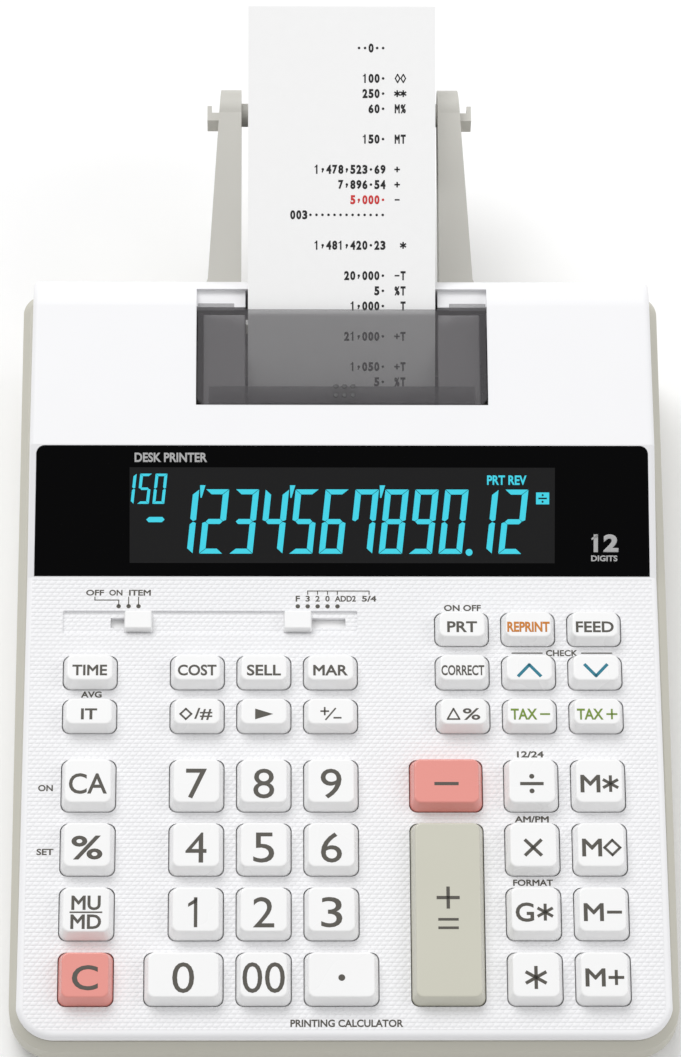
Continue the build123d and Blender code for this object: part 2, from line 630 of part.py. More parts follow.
def make_circuit_board():
    top = mat_level() - MAT_THICK
    board = DECK * block(-inner_half(), inner_half(), ROW_1 - KEY_SIZE / 2, DECK_LENGTH - 10,
                         top - BOARD_THICK, top)
    under = top - BOARD_THICK
    chips = []
    for x, v, width, depth, height in ((-8, ROW_5, 22, 14, 2.2), (34, ROW_5, 12, 8, 1.8), (-52, ROW_6, 12, 8, 1.8),
                                       (60, ROW_6, 10, 6, 4.0)):
        chips.append(DECK * block(x - width / 2, x + width / 2, v - depth / 2, v + depth / 2,
                                  under - height, under))
    for i in range(3):
        can = Pos(66, ROW_4 - 10 * i, under - 2.5) * Cylinder(3.0, 5.0)
        chips.append(DECK * can)
    floor = FEET_HEIGHT + FLOOR_THICK
    level = JACK_HEIGHT - JACK_RADIUS
    rear = CASE_BACK - BOTTOM_WALL - 0.5
    power = block(JACK_X - 16, JACK_X + 10, rear - 34, rear, level - BOARD_THICK, level)
    jack = block(JACK_X - 5, JACK_X + 5, rear - 14, rear, level, level + 2 * JACK_RADIUS)
    jack += jack_bore(rear - 2, CASE_BACK - 0.3, JACK_RADIUS)
    jack -= jack_bore(rear - 10, CASE_BACK + 5, JACK_HOLE)
    pin = jack_bore(rear - 12, CASE_BACK - 1.5, 0.8)
    posts = [block(JACK_X - 14, JACK_X - 11, rear - 30, rear - 27, floor, level - BOARD_THICK),
             block(JACK_X + 6, JACK_X + 9, rear - 30, rear - 27, floor, level - BOARD_THICK)]
    can = Pos(JACK_X - 9, rear - 22, level + 6) * Cylinder(4.0, 12.0)
    return [board] + chips + [power, jack + pin, can] + posts


# ------------------------------------------------------------------ printer


def cover_outline():
    """Printer cover square on to the hood, with ears either side of a shallow notch."""
    half, ear = COVER_HALF, COVER_HALF - EAR_WIDTH
    points = [(-half, COVER_FRONT), (half, COVER_FRONT), (half, COVER_REAR), (ear, COVER_REAR),
              (ear, NOTCH_LINE), (-ear, NOTCH_LINE), (-ear, COVER_REAR), (-half, COVER_REAR)]
    face = make_face(Polyline(*points, close=True))
    front = face.vertices().filter_by(lambda v: abs(v.Y - COVER_FRONT) < 0.01)
    return fillet(front, COVER_CORNER)


def make_printer_cover():
    low = COVER_PROUD - COVER_THICK
    plate = HOOD * Pos(0, 0, low) * extrude(cover_outline(), amount=COVER_THICK)
    for side in (-1, 1):
        x0, x1 = sorted((side * (COVER_HALF - 4), side * COVER_HALF))
        plate += HOOD * block(x0, x1, HINGE_LINE - 1.2, HINGE_LINE + 1.2, -HINGE_DEPTH - PIN_RADIUS, low + 0.2)
        p0, p1 = sorted((side * (COVER_HALF - 1), side * (COVER_HALF + PIN_LENGTH)))
        plate += rod(p0, p1, HINGE_Y, HINGE_Z, PIN_RADIUS)
    return plate


def make_mechanism():
    pieces = []
    low = FEED_Z - FEED_RADIUS - 9
    front = INK_Y - 8
    back = FEED_Y + FEED_RADIUS + 1
    top = INK_Z + 2
    outline = [(front, low), (back, low), (back, FEED_Z + 5), (FEED_Y - 4, FEED_Z + 6), (FEED_Y - 6, top),
               (front, top)]
    for side in (-1, 1):
        x0, x1 = sorted((side * FRAME_HALF, side * (FRAME_HALF + FRAME_THICK)))
        plate = side_profile(outline, x0, x1)
        plate -= rod(x0 - 1, x1 + 1, FEED_Y, FEED_Z, SHAFT_RADIUS + SHAFT_CLEARANCE)
        plate -= rod(x0 - 1, x1 + 1, INK_Y, INK_Z, 1.5 + SHAFT_CLEARANCE)
        pieces.append(plate)
    pieces.append(block(-FRAME_HALF, FRAME_HALF, front + 4, back - 4, low, low + 1.5))
    drum = rod(-PAPER_WIDTH / 2 + 4, PAPER_WIDTH / 2 - 4, DRUM_Y, DRUM_Z, DRUM_RADIUS)
    for i in range(1, 12):
        x = -PAPER_WIDTH / 2 + 4 + i * (PAPER_WIDTH - 8) / 12
        drum -= tube(x - 0.4, x + 0.4, DRUM_Y, DRUM_Z, DRUM_RADIUS + 1, DRUM_RADIUS - 0.8)
    drum += rod(-FRAME_HALF, FRAME_HALF, DRUM_Y, DRUM_Z, 2.0)
    pieces.append(drum)
    motor_y = front - 14
    floor = FEET_HEIGHT + FLOOR_THICK
    clear_x = BATTERY_CENTRE + BATTERY_WIDTH / 2 + BAY_WALL + 2
    motor = rod(clear_x, FRAME_HALF, motor_y, floor + 14, 11.0)
    pieces.append(motor)
    pieces.append(block(clear_x, FRAME_HALF, front + 6, back - 6, floor, low))
    gear_x = FRAME_HALF + FRAME_THICK
    pieces.append(spur(gear_x + 0.3, gear_x + 3.3, DRUM_Y, DRUM_Z, 16, 0.5))
    return pieces


def spur(x0, x1, y, z, teeth, module):
    """Spur gear along X with plain teeth."""
    pitch_radius = teeth * module / 2
    gear = rod(x0, x1, y, z, pitch_radius - 0.6 * module)
    tooth = block(x0, x1, -0.4 * module, 0.4 * module, 0, pitch_radius + 0.8 * module)
    for i in range(teeth):
        gear += Pos(0, y, z) * Rot(i * 360 / teeth, 0, 0) * tooth
    return gear


def make_feed_roller():
    rubber = tube(-PAPER_WIDTH / 2 + 2, PAPER_WIDTH / 2 - 2, FEED_Y, FEED_Z, FEED_RADIUS, SHAFT_RADIUS)
    end = FRAME_HALF + FRAME_THICK + 1.0
    shaft = rod(-end, end + 4.0, FEED_Y, FEED_Z, SHAFT_RADIUS)
    gear = spur(end, end + 3.0, FEED_Y, FEED_Z, 20, 0.6)
    gear -= rod(end - 1, end + 5, FEED_Y, FEED_Z, SHAFT_RADIUS)
    return [rubber, shaft, gear]


def make_ink_roller():
    half = INK_LENGTH / 2
    pad = tube(-half, half, INK_Y, INK_Z, INK_RADIUS, 1.5)
    shaft = rod(-FRAME_HALF - FRAME_THICK - 0.8, FRAME_HALF + FRAME_THICK + 0.8, INK_Y, INK_Z, 1.5)
    flanges = [tube(-half - 1.2, -half, INK_Y, INK_Z, INK_RADIUS - 0.5, 1.5),
               tube(half, half + 1.2, INK_Y, INK_Z, INK_RADIUS - 0.5, 1.5)]
    return [pad, shaft] + flanges


# ------------------------------------------------------------------ paper and arms


def make_strip():
    """Paper from the roll, round the feed roller and out behind the cover."""
    half = PAPER_THICK / 2
    wrap_start = (FEED_Y - WRAP_RADIUS * STRIP_RISE, FEED_Z + WRAP_RADIUS * STRIP_RUN)
    total = FEED_DISTANCE + STRIP_LENGTH
    strip_end = (wrap_start[0] + total * STRIP_RUN, wrap_start[1] + total * STRIP_RISE)
    web_start = (FEED_Y + WRAP_RADIUS * math.sin(WEB_ANGLE), FEED_Z - WRAP_RADIUS * math.cos(WEB_ANGLE))
    web_end = (ROLL_Y + ROLL_WRAP * math.sin(WEB_ANGLE), ROLL_HEIGHT - ROLL_WRAP * math.cos(WEB_ANGLE))
    printed = slab(wrap_start, strip_end, half)
    web = slab(web_start, web_end, half)
    ring = tube(-PAPER_WIDTH / 2, PAPER_WIDTH / 2, FEED_Y, FEED_Z, WRAP_RADIUS + half, WRAP_RADIUS - half)
    keep_front = wrap_sector(wrap_start, web_start)
    return printed + web + (ring & keep_front)


def slab(start, end, half):
    """Thin straight stretch of paper between two (y, z) points."""
    length = math.hypot(end[0] - start[0], end[1] - start[1])
    normal = (-(end[1] - start[1]) / length * half, (end[0] - start[0]) / length * half)
    points = [(start[0] + normal[0], start[1] + normal[1]), (end[0] + normal[0], end[1] + normal[1]),
              (end[0] - normal[0], end[1] - normal[1]), (start[0] - normal[0], start[1] - normal[1])]
    return side_profile(points, -PAPER_WIDTH / 2, PAPER_WIDTH / 2)


def wrap_sector(start, end):
    """Part of the space round the feed roller that lies in front of its two tangent points."""
    reach = 40
    centre = (FEED_Y, FEED_Z)

    def beyond(point):
        return (centre[0] + (point[0] - centre[0]) / WRAP_RADIUS * reach,
                centre[1] + (point[1] - centre[1]) / WRAP_RADIUS * reach)

    upper, lower = beyond(start), beyond(end)
    points = [centre, upper, (FEED_Y - reach, upper[1]), (FEED_Y - reach, lower[1]), lower]
    return side_profile(points, -PAPER_WIDTH, PAPER_WIDTH)


def make_roll():
    half = PAPER_WIDTH / 2
    bore = PEG_RADIUS + PEG_CLEARANCE
    paper = tube(-half, half, ROLL_Y, ROLL_HEIGHT, ROLL_RADIUS, bore + CORE_WALL)
    core = tube(-half, half, ROLL_Y, ROLL_HEIGHT, bore + CORE_WALL, bore)
    return [paper, core]


def make_arm(side):
    """One roll arm: wide root on the back wall, slim tip, inner peg and outer hook."""
    root_low = ARM_ROOT_TOP - ARM_ROOT_HEIGHT
    tip = ARM_TIP_RADIUS
    points = [(CASE_BACK, root_low), (ROLL_Y, ROLL_HEIGHT - tip), (ROLL_Y, ROLL_HEIGHT + tip),
              (CASE_BACK, ARM_ROOT_TOP)]
    width = ARM_BASE_WIDTH + 3
    blade = side_profile(points, 0, width) + rod(0, width, ROLL_Y, ROLL_HEIGHT, tip)
    foot_y = CASE_BACK + 6
    tip_y = ROLL_Y + tip
    plan_points = [(0, CASE_BACK - 1), (ARM_BASE_WIDTH + 3, CASE_BACK - 1), (ARM_BASE_WIDTH, foot_y),
                   (ARM_TIP_WIDTH, tip_y + 1), (0, tip_y + 1)]
    outline = make_face(Polyline(*plan_points, close=True))
    blade = blade & extrude(outline, amount=200)
    peg = rod(-PEG_LENGTH, 1, ROLL_Y, ROLL_HEIGHT, PEG_RADIUS)
    peg = chamfer(peg.edges().group_by(Axis.X)[0], 0.8)
    hook_x = ARM_TIP_WIDTH + 4.6
    hook = block(1, hook_x, ROLL_Y - 3.4, ROLL_Y - 0.4, ROLL_HEIGHT - 4, ROLL_HEIGHT + 2)
    hook += block(hook_x - 1.4, hook_x, ROLL_Y - 3.4, ROLL_Y + 2.2, ROLL_HEIGHT - 4, ROLL_HEIGHT + 2)
    arm = Pos(ARM_INNER, 0, 0) * (blade + peg + hook)
    return arm if side > 0 else mirror(arm, about=Plane.YZ)


# ------------------------------------------------------------------ build

os.makedirs("parts", exist_ok=True)

for key_name, key_x, key_v, key_width, key_depth in key_table():
    write("key_" + key_name, key_cap(key_x, key_v, key_width, key_depth))

write("mode_switch", knob(MODE_KNOB))
write("rounding_switch", knob(ROUND_KNOB))
write("top_case", make_top_case())
write("bottom_case", make_bottom_case())
write("battery_cover", make_battery_cover())
write("rubber_feet", *make_feet())
write("display_window", make_lens())
write("display_panel", make_panel())
write("key_mat", make_key_mat())
write("circuit_board", *make_circuit_board())
write("printer_cover", make_printer_cover())
write("printer_mechanism", *make_mechanism())
write("feed_roller", *make_feed_roller())
write("ink_roller", *make_ink_roller())
write("paper_strip", make_strip())
write("paper_roll", *make_roll())
write("roll_arms", make_arm(-1), make_arm(1))

print("origin y", round(ORIGIN_Y, 3), "hinge", round(HINGE_Y - ORIGIN_Y, 3), round(HINGE_Z, 3))
print("feed", round(FEED_Y - ORIGIN_Y, 3), round(FEED_Z, 3), "ink", round(INK_Y - ORIGIN_Y, 3), round(INK_Z, 3))
print("roll", round(ROLL_Y - ORIGIN_Y, 3), "case half", HALF_CASE, "back", round(CASE_BACK - ORIGIN_Y, 3))
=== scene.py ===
"""Looks of a printing desk calculator: finishes, key legends, display digits, printed paper and small trim.

Lengths are in metres in the frame of the model; MM turns millimetres into metres.
"""
import json
import math

import bmesh
import bpy
from mathutils import Matrix, Vector


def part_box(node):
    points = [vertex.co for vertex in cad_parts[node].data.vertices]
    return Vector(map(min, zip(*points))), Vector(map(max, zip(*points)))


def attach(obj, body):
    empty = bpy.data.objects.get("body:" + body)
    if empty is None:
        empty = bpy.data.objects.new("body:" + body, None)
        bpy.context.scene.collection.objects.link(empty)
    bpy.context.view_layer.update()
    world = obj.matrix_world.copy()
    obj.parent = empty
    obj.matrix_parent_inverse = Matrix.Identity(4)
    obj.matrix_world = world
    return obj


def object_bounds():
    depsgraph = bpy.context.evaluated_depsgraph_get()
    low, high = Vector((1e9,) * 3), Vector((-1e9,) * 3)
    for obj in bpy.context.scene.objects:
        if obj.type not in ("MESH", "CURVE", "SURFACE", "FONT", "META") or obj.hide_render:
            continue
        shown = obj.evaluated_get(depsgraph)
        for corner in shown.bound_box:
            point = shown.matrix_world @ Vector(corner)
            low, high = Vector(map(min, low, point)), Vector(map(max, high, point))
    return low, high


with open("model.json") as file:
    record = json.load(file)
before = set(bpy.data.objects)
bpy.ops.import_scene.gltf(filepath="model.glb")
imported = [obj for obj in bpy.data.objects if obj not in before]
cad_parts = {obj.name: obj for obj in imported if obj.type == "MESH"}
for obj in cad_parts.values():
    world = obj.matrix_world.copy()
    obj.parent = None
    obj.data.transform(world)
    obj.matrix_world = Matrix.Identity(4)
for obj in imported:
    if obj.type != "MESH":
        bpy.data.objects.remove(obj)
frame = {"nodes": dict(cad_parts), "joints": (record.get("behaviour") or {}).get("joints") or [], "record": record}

CAD_BOX = [list(corner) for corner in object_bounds()]
MM = 0.001
NODES = frame["nodes"]
BODIES = frame["record"]["behaviour"]["bodies"]
BODY_OF = {node: body for body, members in BODIES.items() for node in members}

# ---------------------------------------------------------------- sizes
STEEPEST_TOP = 0.3              # a face whose normal rises less than this is a side, not a top
KEY_HEIGHT = 5.0 * MM           # top of a key above the deck
BOLD, MEDIUM, FINE = 1.0 * MM, 0.9 * MM, 0.5 * MM       # stroke widths of the drawn signs
LETTER_SCALE = 1.06             # height of the moulded letters over their nominal height
LEGEND_DROP = 0.9 * MM          # key legends sit this far in front of the middle of the key
INK_THICK = 0.03 * MM           # printed legends stand this proud of the plastic
INK_LIFT = 0.012 * MM           # and start this far above it

# ---------------------------------------------------------------- colours (linear)
WHITE_PLASTIC = (0.88, 0.88, 0.895)
KEY_WHITE = (0.92, 0.92, 0.92)
BEIGE_PLASTIC = (0.56, 0.545, 0.475)
ARM_PLASTIC = (0.55, 0.54, 0.50)
PINK_PLASTIC = (0.80, 0.30, 0.26)
BEIGE_KEY_PLASTIC = (0.60, 0.59, 0.50)
LEGEND_GREY = (0.075, 0.068, 0.055)
LEGEND_ORANGE = (0.58, 0.19, 0.008)
LEGEND_TEAL = (0.004, 0.18, 0.26)
LEGEND_GREEN = (0.16, 0.26, 0.02)
DISPLAY_CYAN = (0.04, 0.60, 0.74)
LENS_PRINT = (0.45, 0.45, 0.45)
PRINT_BLACK = (0.008, 0.008, 0.009)
PRINT_RED = (0.65, 0.03, 0.03)


# ================================================================ places on the object

def facing(node):
    """Frame (origin, x, up the slope, normal) of the largest flat area of a node that faces up."""
    areas = {}
    for face in NODES[node].data.polygons:
        if face.normal.z < STEEPEST_TOP:
            continue
        key = tuple(round(value, 2) for value in face.normal)
        total, normal, point = areas.get(key, (0.0, face.normal.copy(), face.center.copy()))
        areas[key] = (total + face.area, normal, point)
    normal, point = max(areas.values(), key=lambda item: item[0])[1:]
    x = Vector((1, 0, 0))
    up = normal.cross(x).normalized()
    return point - x * point.x, x, up, normal.normalized()


class Surface:
    """A sloping face of the object, with places given across it, up it and above it."""

    def __init__(self, origin, x, up, normal):
        self.origin, self.x, self.up, self.normal = origin, x, up, normal

    def at(self, across, along, above=0.0):
        return self.origin + self.x * across + self.up * along + self.normal * above

    def matrix(self, across, along, above=0.0, turn=0.0):
        axes = Matrix((self.x, self.up, self.normal)).transposed().to_4x4()
        return Matrix.Translation(self.at(across, along, above)) @ axes @ Matrix.Rotation(turn, 4, "Z")

    def extent(self, node):
        """Lowest and highest (across, along, above) of a node in this surface's own directions."""
        lows, highs = [1e9] * 3, [-1e9] * 3
        for vertex in NODES[node].data.vertices:
            rel = vertex.co - self.origin
            for i, axis in enumerate((self.x, self.up, self.normal)):
                value = rel.dot(axis)
                lows[i] = min(lows[i], value)
                highs[i] = max(highs[i], value)
        return lows, highs


key_press = next(j for j in frame["joints"] if j["name"] == "press_5")
DECK_NORMAL = -Vector(key_press["axis"]).normalized()
DECK_X = Vector((1, 0, 0))
DECK_UP = DECK_NORMAL.cross(DECK_X).normalized()
deck_probe = Surface(Vector((0, 0, 0)), DECK_X, DECK_UP, DECK_NORMAL)
deck_level = deck_probe.extent("key_5")[1][2] - KEY_HEIGHT
case_low, case_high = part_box("top_case")
DECK = Surface(DECK_NORMAL * deck_level, DECK_X, DECK_UP, DECK_NORMAL)
LENS = Surface(*facing("display_window"))
STRIP = Surface(*facing("paper_strip"))
COVER = Surface(*facing("printer_cover"))


def key_centre(node):
    """Middle of a key or a switch knob on the deck (across, along)."""
    lows, highs = DECK.extent(node)
    return (lows[0] + highs[0]) / 2, (lows[1] + highs[1]) / 2


# ================================================================ shader groups

def new_group(name, inputs, outputs):
    """Empty shader node group with named sockets; returns the group, its input node and its output node."""
    group = bpy.data.node_groups.new(name, "ShaderNodeTree")
    for socket, kind, value in inputs:
        made = group.interface.new_socket(name=socket, in_out="INPUT", socket_type=kind)
        made.default_value = value
    for socket, kind in outputs:
        group.interface.new_socket(name=socket, in_out="OUTPUT", socket_type=kind)
    return group, group.nodes.new("NodeGroupInput"), group.nodes.new("NodeGroupOutput")


def math_node(tree, operation, a, b=None):
    """Math node fed by sockets or numbers."""
    node = tree.nodes.new("ShaderNodeMath")
    node.operation = operation
    for i, value in enumerate((a, b)):
        if value is None:
            continue
        if isinstance(value, (int, float)):
            node.inputs[i].default_value = value
        else:
            tree.links.new(value, node.inputs[i])
    return node.outputs[0]


def make_moulded_grain():
    """Fine moulded-plastic grain: a height and a slight tint and roughness variation."""
    group, inp, out = new_group(
        "moulded_grain",
        [("Scale", "NodeSocketFloat", 2500.0), ("Drift", "NodeSocketFloat", 40.0)],
        [("Height", "NodeSocketFloat"), ("Mask", "NodeSocketFloat")])
    coords = group.nodes.new("ShaderNodeTexCoord")
    fine = group.nodes.new("ShaderNodeTexNoise")
    fine.inputs["Detail"].default_value = 3.0
    group.links.new(coords.outputs["Object"], fine.inputs["Vector"])
    group.links.new(inp.outputs["Scale"], fine.inputs["Scale"])
    broad = group.nodes.new("ShaderNodeTexNoise")
    group.links.new(coords.outputs["Object"], broad.inputs["Vector"])
    group.links.new(inp.outputs["Drift"], broad.inputs["Scale"])
    group.links.new(fine.outputs["Fac"], out.inputs["Height"])
    group.links.new(broad.outputs["Fac"], out.inputs["Mask"])
    return group


def make_deck_weave():
    """Embossed weave of small staggered slanted cushions, seen in the deck's own directions."""
    group, inp, out = new_group(
        "deck_weave",
        [("Pitch Across", "NodeSocketFloat", 2.1), ("Pitch Along", "NodeSocketFloat", 1.3)],
        [("Height", "NodeSocketFloat")])
    coords = group.nodes.new("ShaderNodeTexCoord")
    place = group.nodes.new("ShaderNodeMapping")        # metres to millimetres
    place.inputs["Scale"].default_value = (1 / MM, 1 / MM, 1 / MM)
    group.links.new(coords.outputs["Object"], place.inputs["Vector"])
    split = group.nodes.new("ShaderNodeSeparateXYZ")
    group.links.new(place.outputs["Vector"], split.inputs["Vector"])
    along = math_node(group, "DIVIDE", split.outputs["Y"], inp.outputs["Pitch Along"])
    row = math_node(group, "FLOOR", along)
    stagger = math_node(group, "MULTIPLY", row, 0.5)
    across = math_node(group, "DIVIDE", split.outputs["X"], inp.outputs["Pitch Across"])
    shifted = math_node(group, "ADD", across, stagger)
    cell_v = math_node(group, "FRACT", along)
    slant = math_node(group, "MULTIPLY", cell_v, 0.35)
    cell_u = math_node(group, "FRACT", math_node(group, "SUBTRACT", shifted, slant))
    bump_u = math_node(group, "SINE", math_node(group, "MULTIPLY", cell_u, math.pi))
    bump_v = math_node(group, "SINE", math_node(group, "MULTIPLY", cell_v, math.pi))
    cushion = math_node(group, "MULTIPLY", bump_u, bump_v)
    group.links.new(math_node(group, "POWER", cushion, 0.5), out.inputs["Height"])
    return group


def make_zone():
    """Mask that is 1 on upward faces between two places along Y, and 0 elsewhere."""
    group, inp, out = new_group(
        "face_zone",
        [("Front", "NodeSocketFloat", 0.0), ("Back", "NodeSocketFloat", 0.1),
         ("Half", "NodeSocketFloat", 0.09), ("Level", "NodeSocketFloat", 0.985)],
        [("Mask", "NodeSocketFloat")])
    coords = group.nodes.new("ShaderNodeTexCoord")
    split = group.nodes.new("ShaderNodeSeparateXYZ")
    group.links.new(coords.outputs["Object"], split.inputs["Vector"])
    geometry = group.nodes.new("ShaderNodeNewGeometry")
    normal = group.nodes.new("ShaderNodeSeparateXYZ")
    group.links.new(geometry.outputs["Normal"], normal.inputs["Vector"])
    behind = math_node(group, "GREATER_THAN", split.outputs["Y"], inp.outputs["Front"])
    before = math_node(group, "LESS_THAN", split.outputs["Y"], inp.outputs["Back"])
    off_middle = math_node(group, "ABSOLUTE", split.outputs["X"])
    inside = math_node(group, "LESS_THAN", off_middle, inp.outputs["Half"])
    level = math_node(group, "GREATER_THAN", normal.outputs["Z"], inp.outputs["Level"])
    both = math_node(group, "MULTIPLY", math_node(group, "MULTIPLY", behind, before),
                     math_node(group, "MULTIPLY", inside, level))
    group.links.new(both, out.inputs["Mask"])
    return group


GRAIN = make_moulded_grain()
WEAVE = make_deck_weave()
ZONE = make_zone()


# ================================================================ materials

def new_material(name, colour, roughness, coat=0.0):
    """Principled material; returns it with its tree and shader node."""
    material = bpy.data.materials.new(name)
    material.use_nodes = True
    tree = material.node_tree
    shader = tree.nodes["Principled BSDF"]
    shader.inputs["Base Color"].default_value = (*colour, 1)
    shader.inputs["Roughness"].default_value = roughness
    shader.inputs["Coat Weight"].default_value = coat
    material.diffuse_color = (*colour, 1)
    return material, tree, shader


def use_group(tree, group, **values):
    node = tree.nodes.new("ShaderNodeGroup")
    node.node_tree = group
    for name, value in values.items():
        node.inputs[name.replace("_", " ")].default_value = value
    return node


def tinted(tree, shader, colour, mask, amount):
    """Base colour that drifts by a small amount with a mask."""
    mix = tree.nodes.new("ShaderNodeMix")
    mix.data_type = "RGBA"
    mix.inputs["A"].default_value = (*[c * (1 - amount) for c in colour], 1)
    mix.inputs["B"].default_value = (*[min(1.0, c * (1 + amount)) for c in colour], 1)
    tree.links.new(mask, mix.inputs["Factor"])
    tree.links.new(mix.outputs["Result"], shader.inputs["Base Color"])


def vary_roughness(tree, shader, mask, low, high):
    spread = tree.nodes.new("ShaderNodeMapRange")
    spread.inputs["To Min"].default_value = low
    spread.inputs["To Max"].default_value = high
    tree.links.new(mask, spread.inputs["Value"])
    tree.links.new(spread.outputs["Result"], shader.inputs["Roughness"])


def bump(tree, shader, height, distance):
    node = tree.nodes.new("ShaderNodeBump")
    node.inputs["Distance"].default_value = distance
    tree.links.new(height, node.inputs["Height"])
    tree.links.new(node.outputs["Normal"], shader.inputs["Normal"])


def moulded(name, colour, roughness, grain=2500.0, depth=0.006 * MM, tint=0.015, coat=0.0):
    """Moulded plastic: grain in the surface, small drift in colour and gloss."""
    material, tree, shader = new_material(name, colour, roughness, coat=coat)
    grains = use_group(tree, GRAIN, Scale=grain)
    tinted(tree, shader, colour, grains.outputs["Mask"], tint)
    vary_roughness(tree, shader, grains.outputs["Mask"], roughness - 0.04, roughness + 0.04)
    bump(tree, shader, grains.outputs["Height"], depth)
    return material


def make_white_case():
    """White case plastic, smooth on the hood and embossed with the weave on the key deck."""
    material, tree, shader = new_material("white_case_plastic", WHITE_PLASTIC, 0.42)
    shader.inputs["Specular IOR Level"].default_value = 0.35
    grains = use_group(tree, GRAIN, Scale=1800.0)
    weave = use_group(tree, WEAVE)
    border = 2.2 * MM               # smooth edge round the weave
    lens_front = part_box("display_window")[0].y
    zone = use_group(tree, ZONE, Front=case_low.y + border, Back=lens_front - 0.9 * MM,
                     Half=case_high.x - border, Level=0.985)
    tinted(tree, shader, WHITE_PLASTIC, grains.outputs["Mask"], 0.012)
    height = math_node(tree, "MULTIPLY", weave.outputs["Height"], zone.outputs["Mask"])
    fine = math_node(tree, "MULTIPLY", grains.outputs["Height"], 0.03)
    bump(tree, shader, math_node(tree, "ADD", height, fine), 0.17 * MM)
    return material


def printed(name, colour, roughness=0.5):
    """Printing ink with a slightly uneven film."""
    material, tree, shader = new_material(name, colour, roughness)
    grains = use_group(tree, GRAIN, Scale=6000.0, Drift=900.0)
    tinted(tree, shader, colour, grains.outputs["Mask"], 0.08)
    vary_roughness(tree, shader, grains.outputs["Mask"], roughness - 0.08, roughness + 0.08)
    return material


def make_lens():
    """Black gloss acrylic with a faint film of fine scuffs."""
    material, tree, shader = new_material("black_lens_gloss", (0.0012, 0.0012, 0.0014), 0.06)
    grains = use_group(tree, GRAIN, Scale=900.0, Drift=60.0)
    vary_roughness(tree, shader, grains.outputs["Mask"], 0.04, 0.10)
    shader.inputs["Specular IOR Level"].default_value = 0.05
    return material


def make_module():
    """Dark glass of the display module."""
    material, tree, shader = new_material("display_module_glass", (0.014, 0.014, 0.0145), 0.3)
    shader.inputs["Specular IOR Level"].default_value = 0.1
    grains = use_group(tree, GRAIN, Scale=900.0, Drift=50.0)
    vary_roughness(tree, shader, grains.outputs["Mask"], 0.26, 0.34)
    return material


def make_smoked():
    """See-through smoked plastic of the printer cover."""
    material, tree, shader = new_material("smoked_cover_plastic", (0.120, 0.115, 0.122), 0.09)
    shader.inputs["Alpha"].default_value = 0.36
    grains = use_group(tree, GRAIN, Scale=1200.0, Drift=70.0)
    vary_roughness(tree, shader, grains.outputs["Mask"], 0.06, 0.13)
    material.surface_render_method = "DITHERED"
    return material


def make_board():
    """Green circuit board with a black power jack at its rear end."""
    green = (0.03, 0.12, 0.05)
    material, tree, shader = new_material("board_green", green, 0.5)
    grains = use_group(tree, GRAIN, Scale=2500.0)
    vary_roughness(tree, shader, grains.outputs["Mask"], 0.45, 0.55)
    coords = tree.nodes.new("ShaderNodeTexCoord")
    split = tree.nodes.new("ShaderNodeSeparateXYZ")
    tree.links.new(coords.outputs["Object"], split.inputs["Vector"])
    jack_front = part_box("circuit_board")[1].y - 12 * MM
    mix = tree.nodes.new("ShaderNodeMix")
    mix.data_type = "RGBA"
    mix.inputs["A"].default_value = (*green, 1)
    mix.inputs["B"].default_value = (0.012, 0.012, 0.013, 1)
    tree.links.new(math_node(tree, "GREATER_THAN", split.outputs["Y"], jack_front), mix.inputs["Factor"])
    tree.links.new(mix.outputs["Result"], shader.inputs["Base Color"])
    return material


def make_paper():
    """Uncoated till paper with a faint fibre."""
    colour = (0.97, 0.97, 0.97)
    material, tree, shader = new_material("till_paper", colour, 0.75)
    grains = use_group(tree, GRAIN, Scale=4000.0, Drift=300.0)
    tinted(tree, shader, colour, grains.outputs["Mask"], 0.012)
    bump(tree, shader, grains.outputs["Height"], 0.01 * MM)
    return material


def make_metal():
    """Blackened steel sheet with an uneven sheen."""
    material, tree, shader = new_material("blackened_steel", (0.03, 0.03, 0.032), 0.4)
    grains = use_group(tree, GRAIN, Scale=1500.0, Drift=200.0)
    vary_roughness(tree, shader, grains.outputs["Mask"], 0.28, 0.45)
    bump(tree, shader, grains.outputs["Height"], 0.005 * MM)
    return material


def make_glow():
    """Lit segments of the display."""
    material, tree, shader = new_material("lit_segment", DISPLAY_CYAN, 0.4)
    grains = use_group(tree, GRAIN, Scale=3000.0, Drift=1200.0)
    tinted(tree, shader, DISPLAY_CYAN, grains.outputs["Mask"], 0.05)
    shader.inputs["Emission Color"].default_value = (*DISPLAY_CYAN, 1)
    shader.inputs["Emission Strength"].default_value = 0.20
    return material


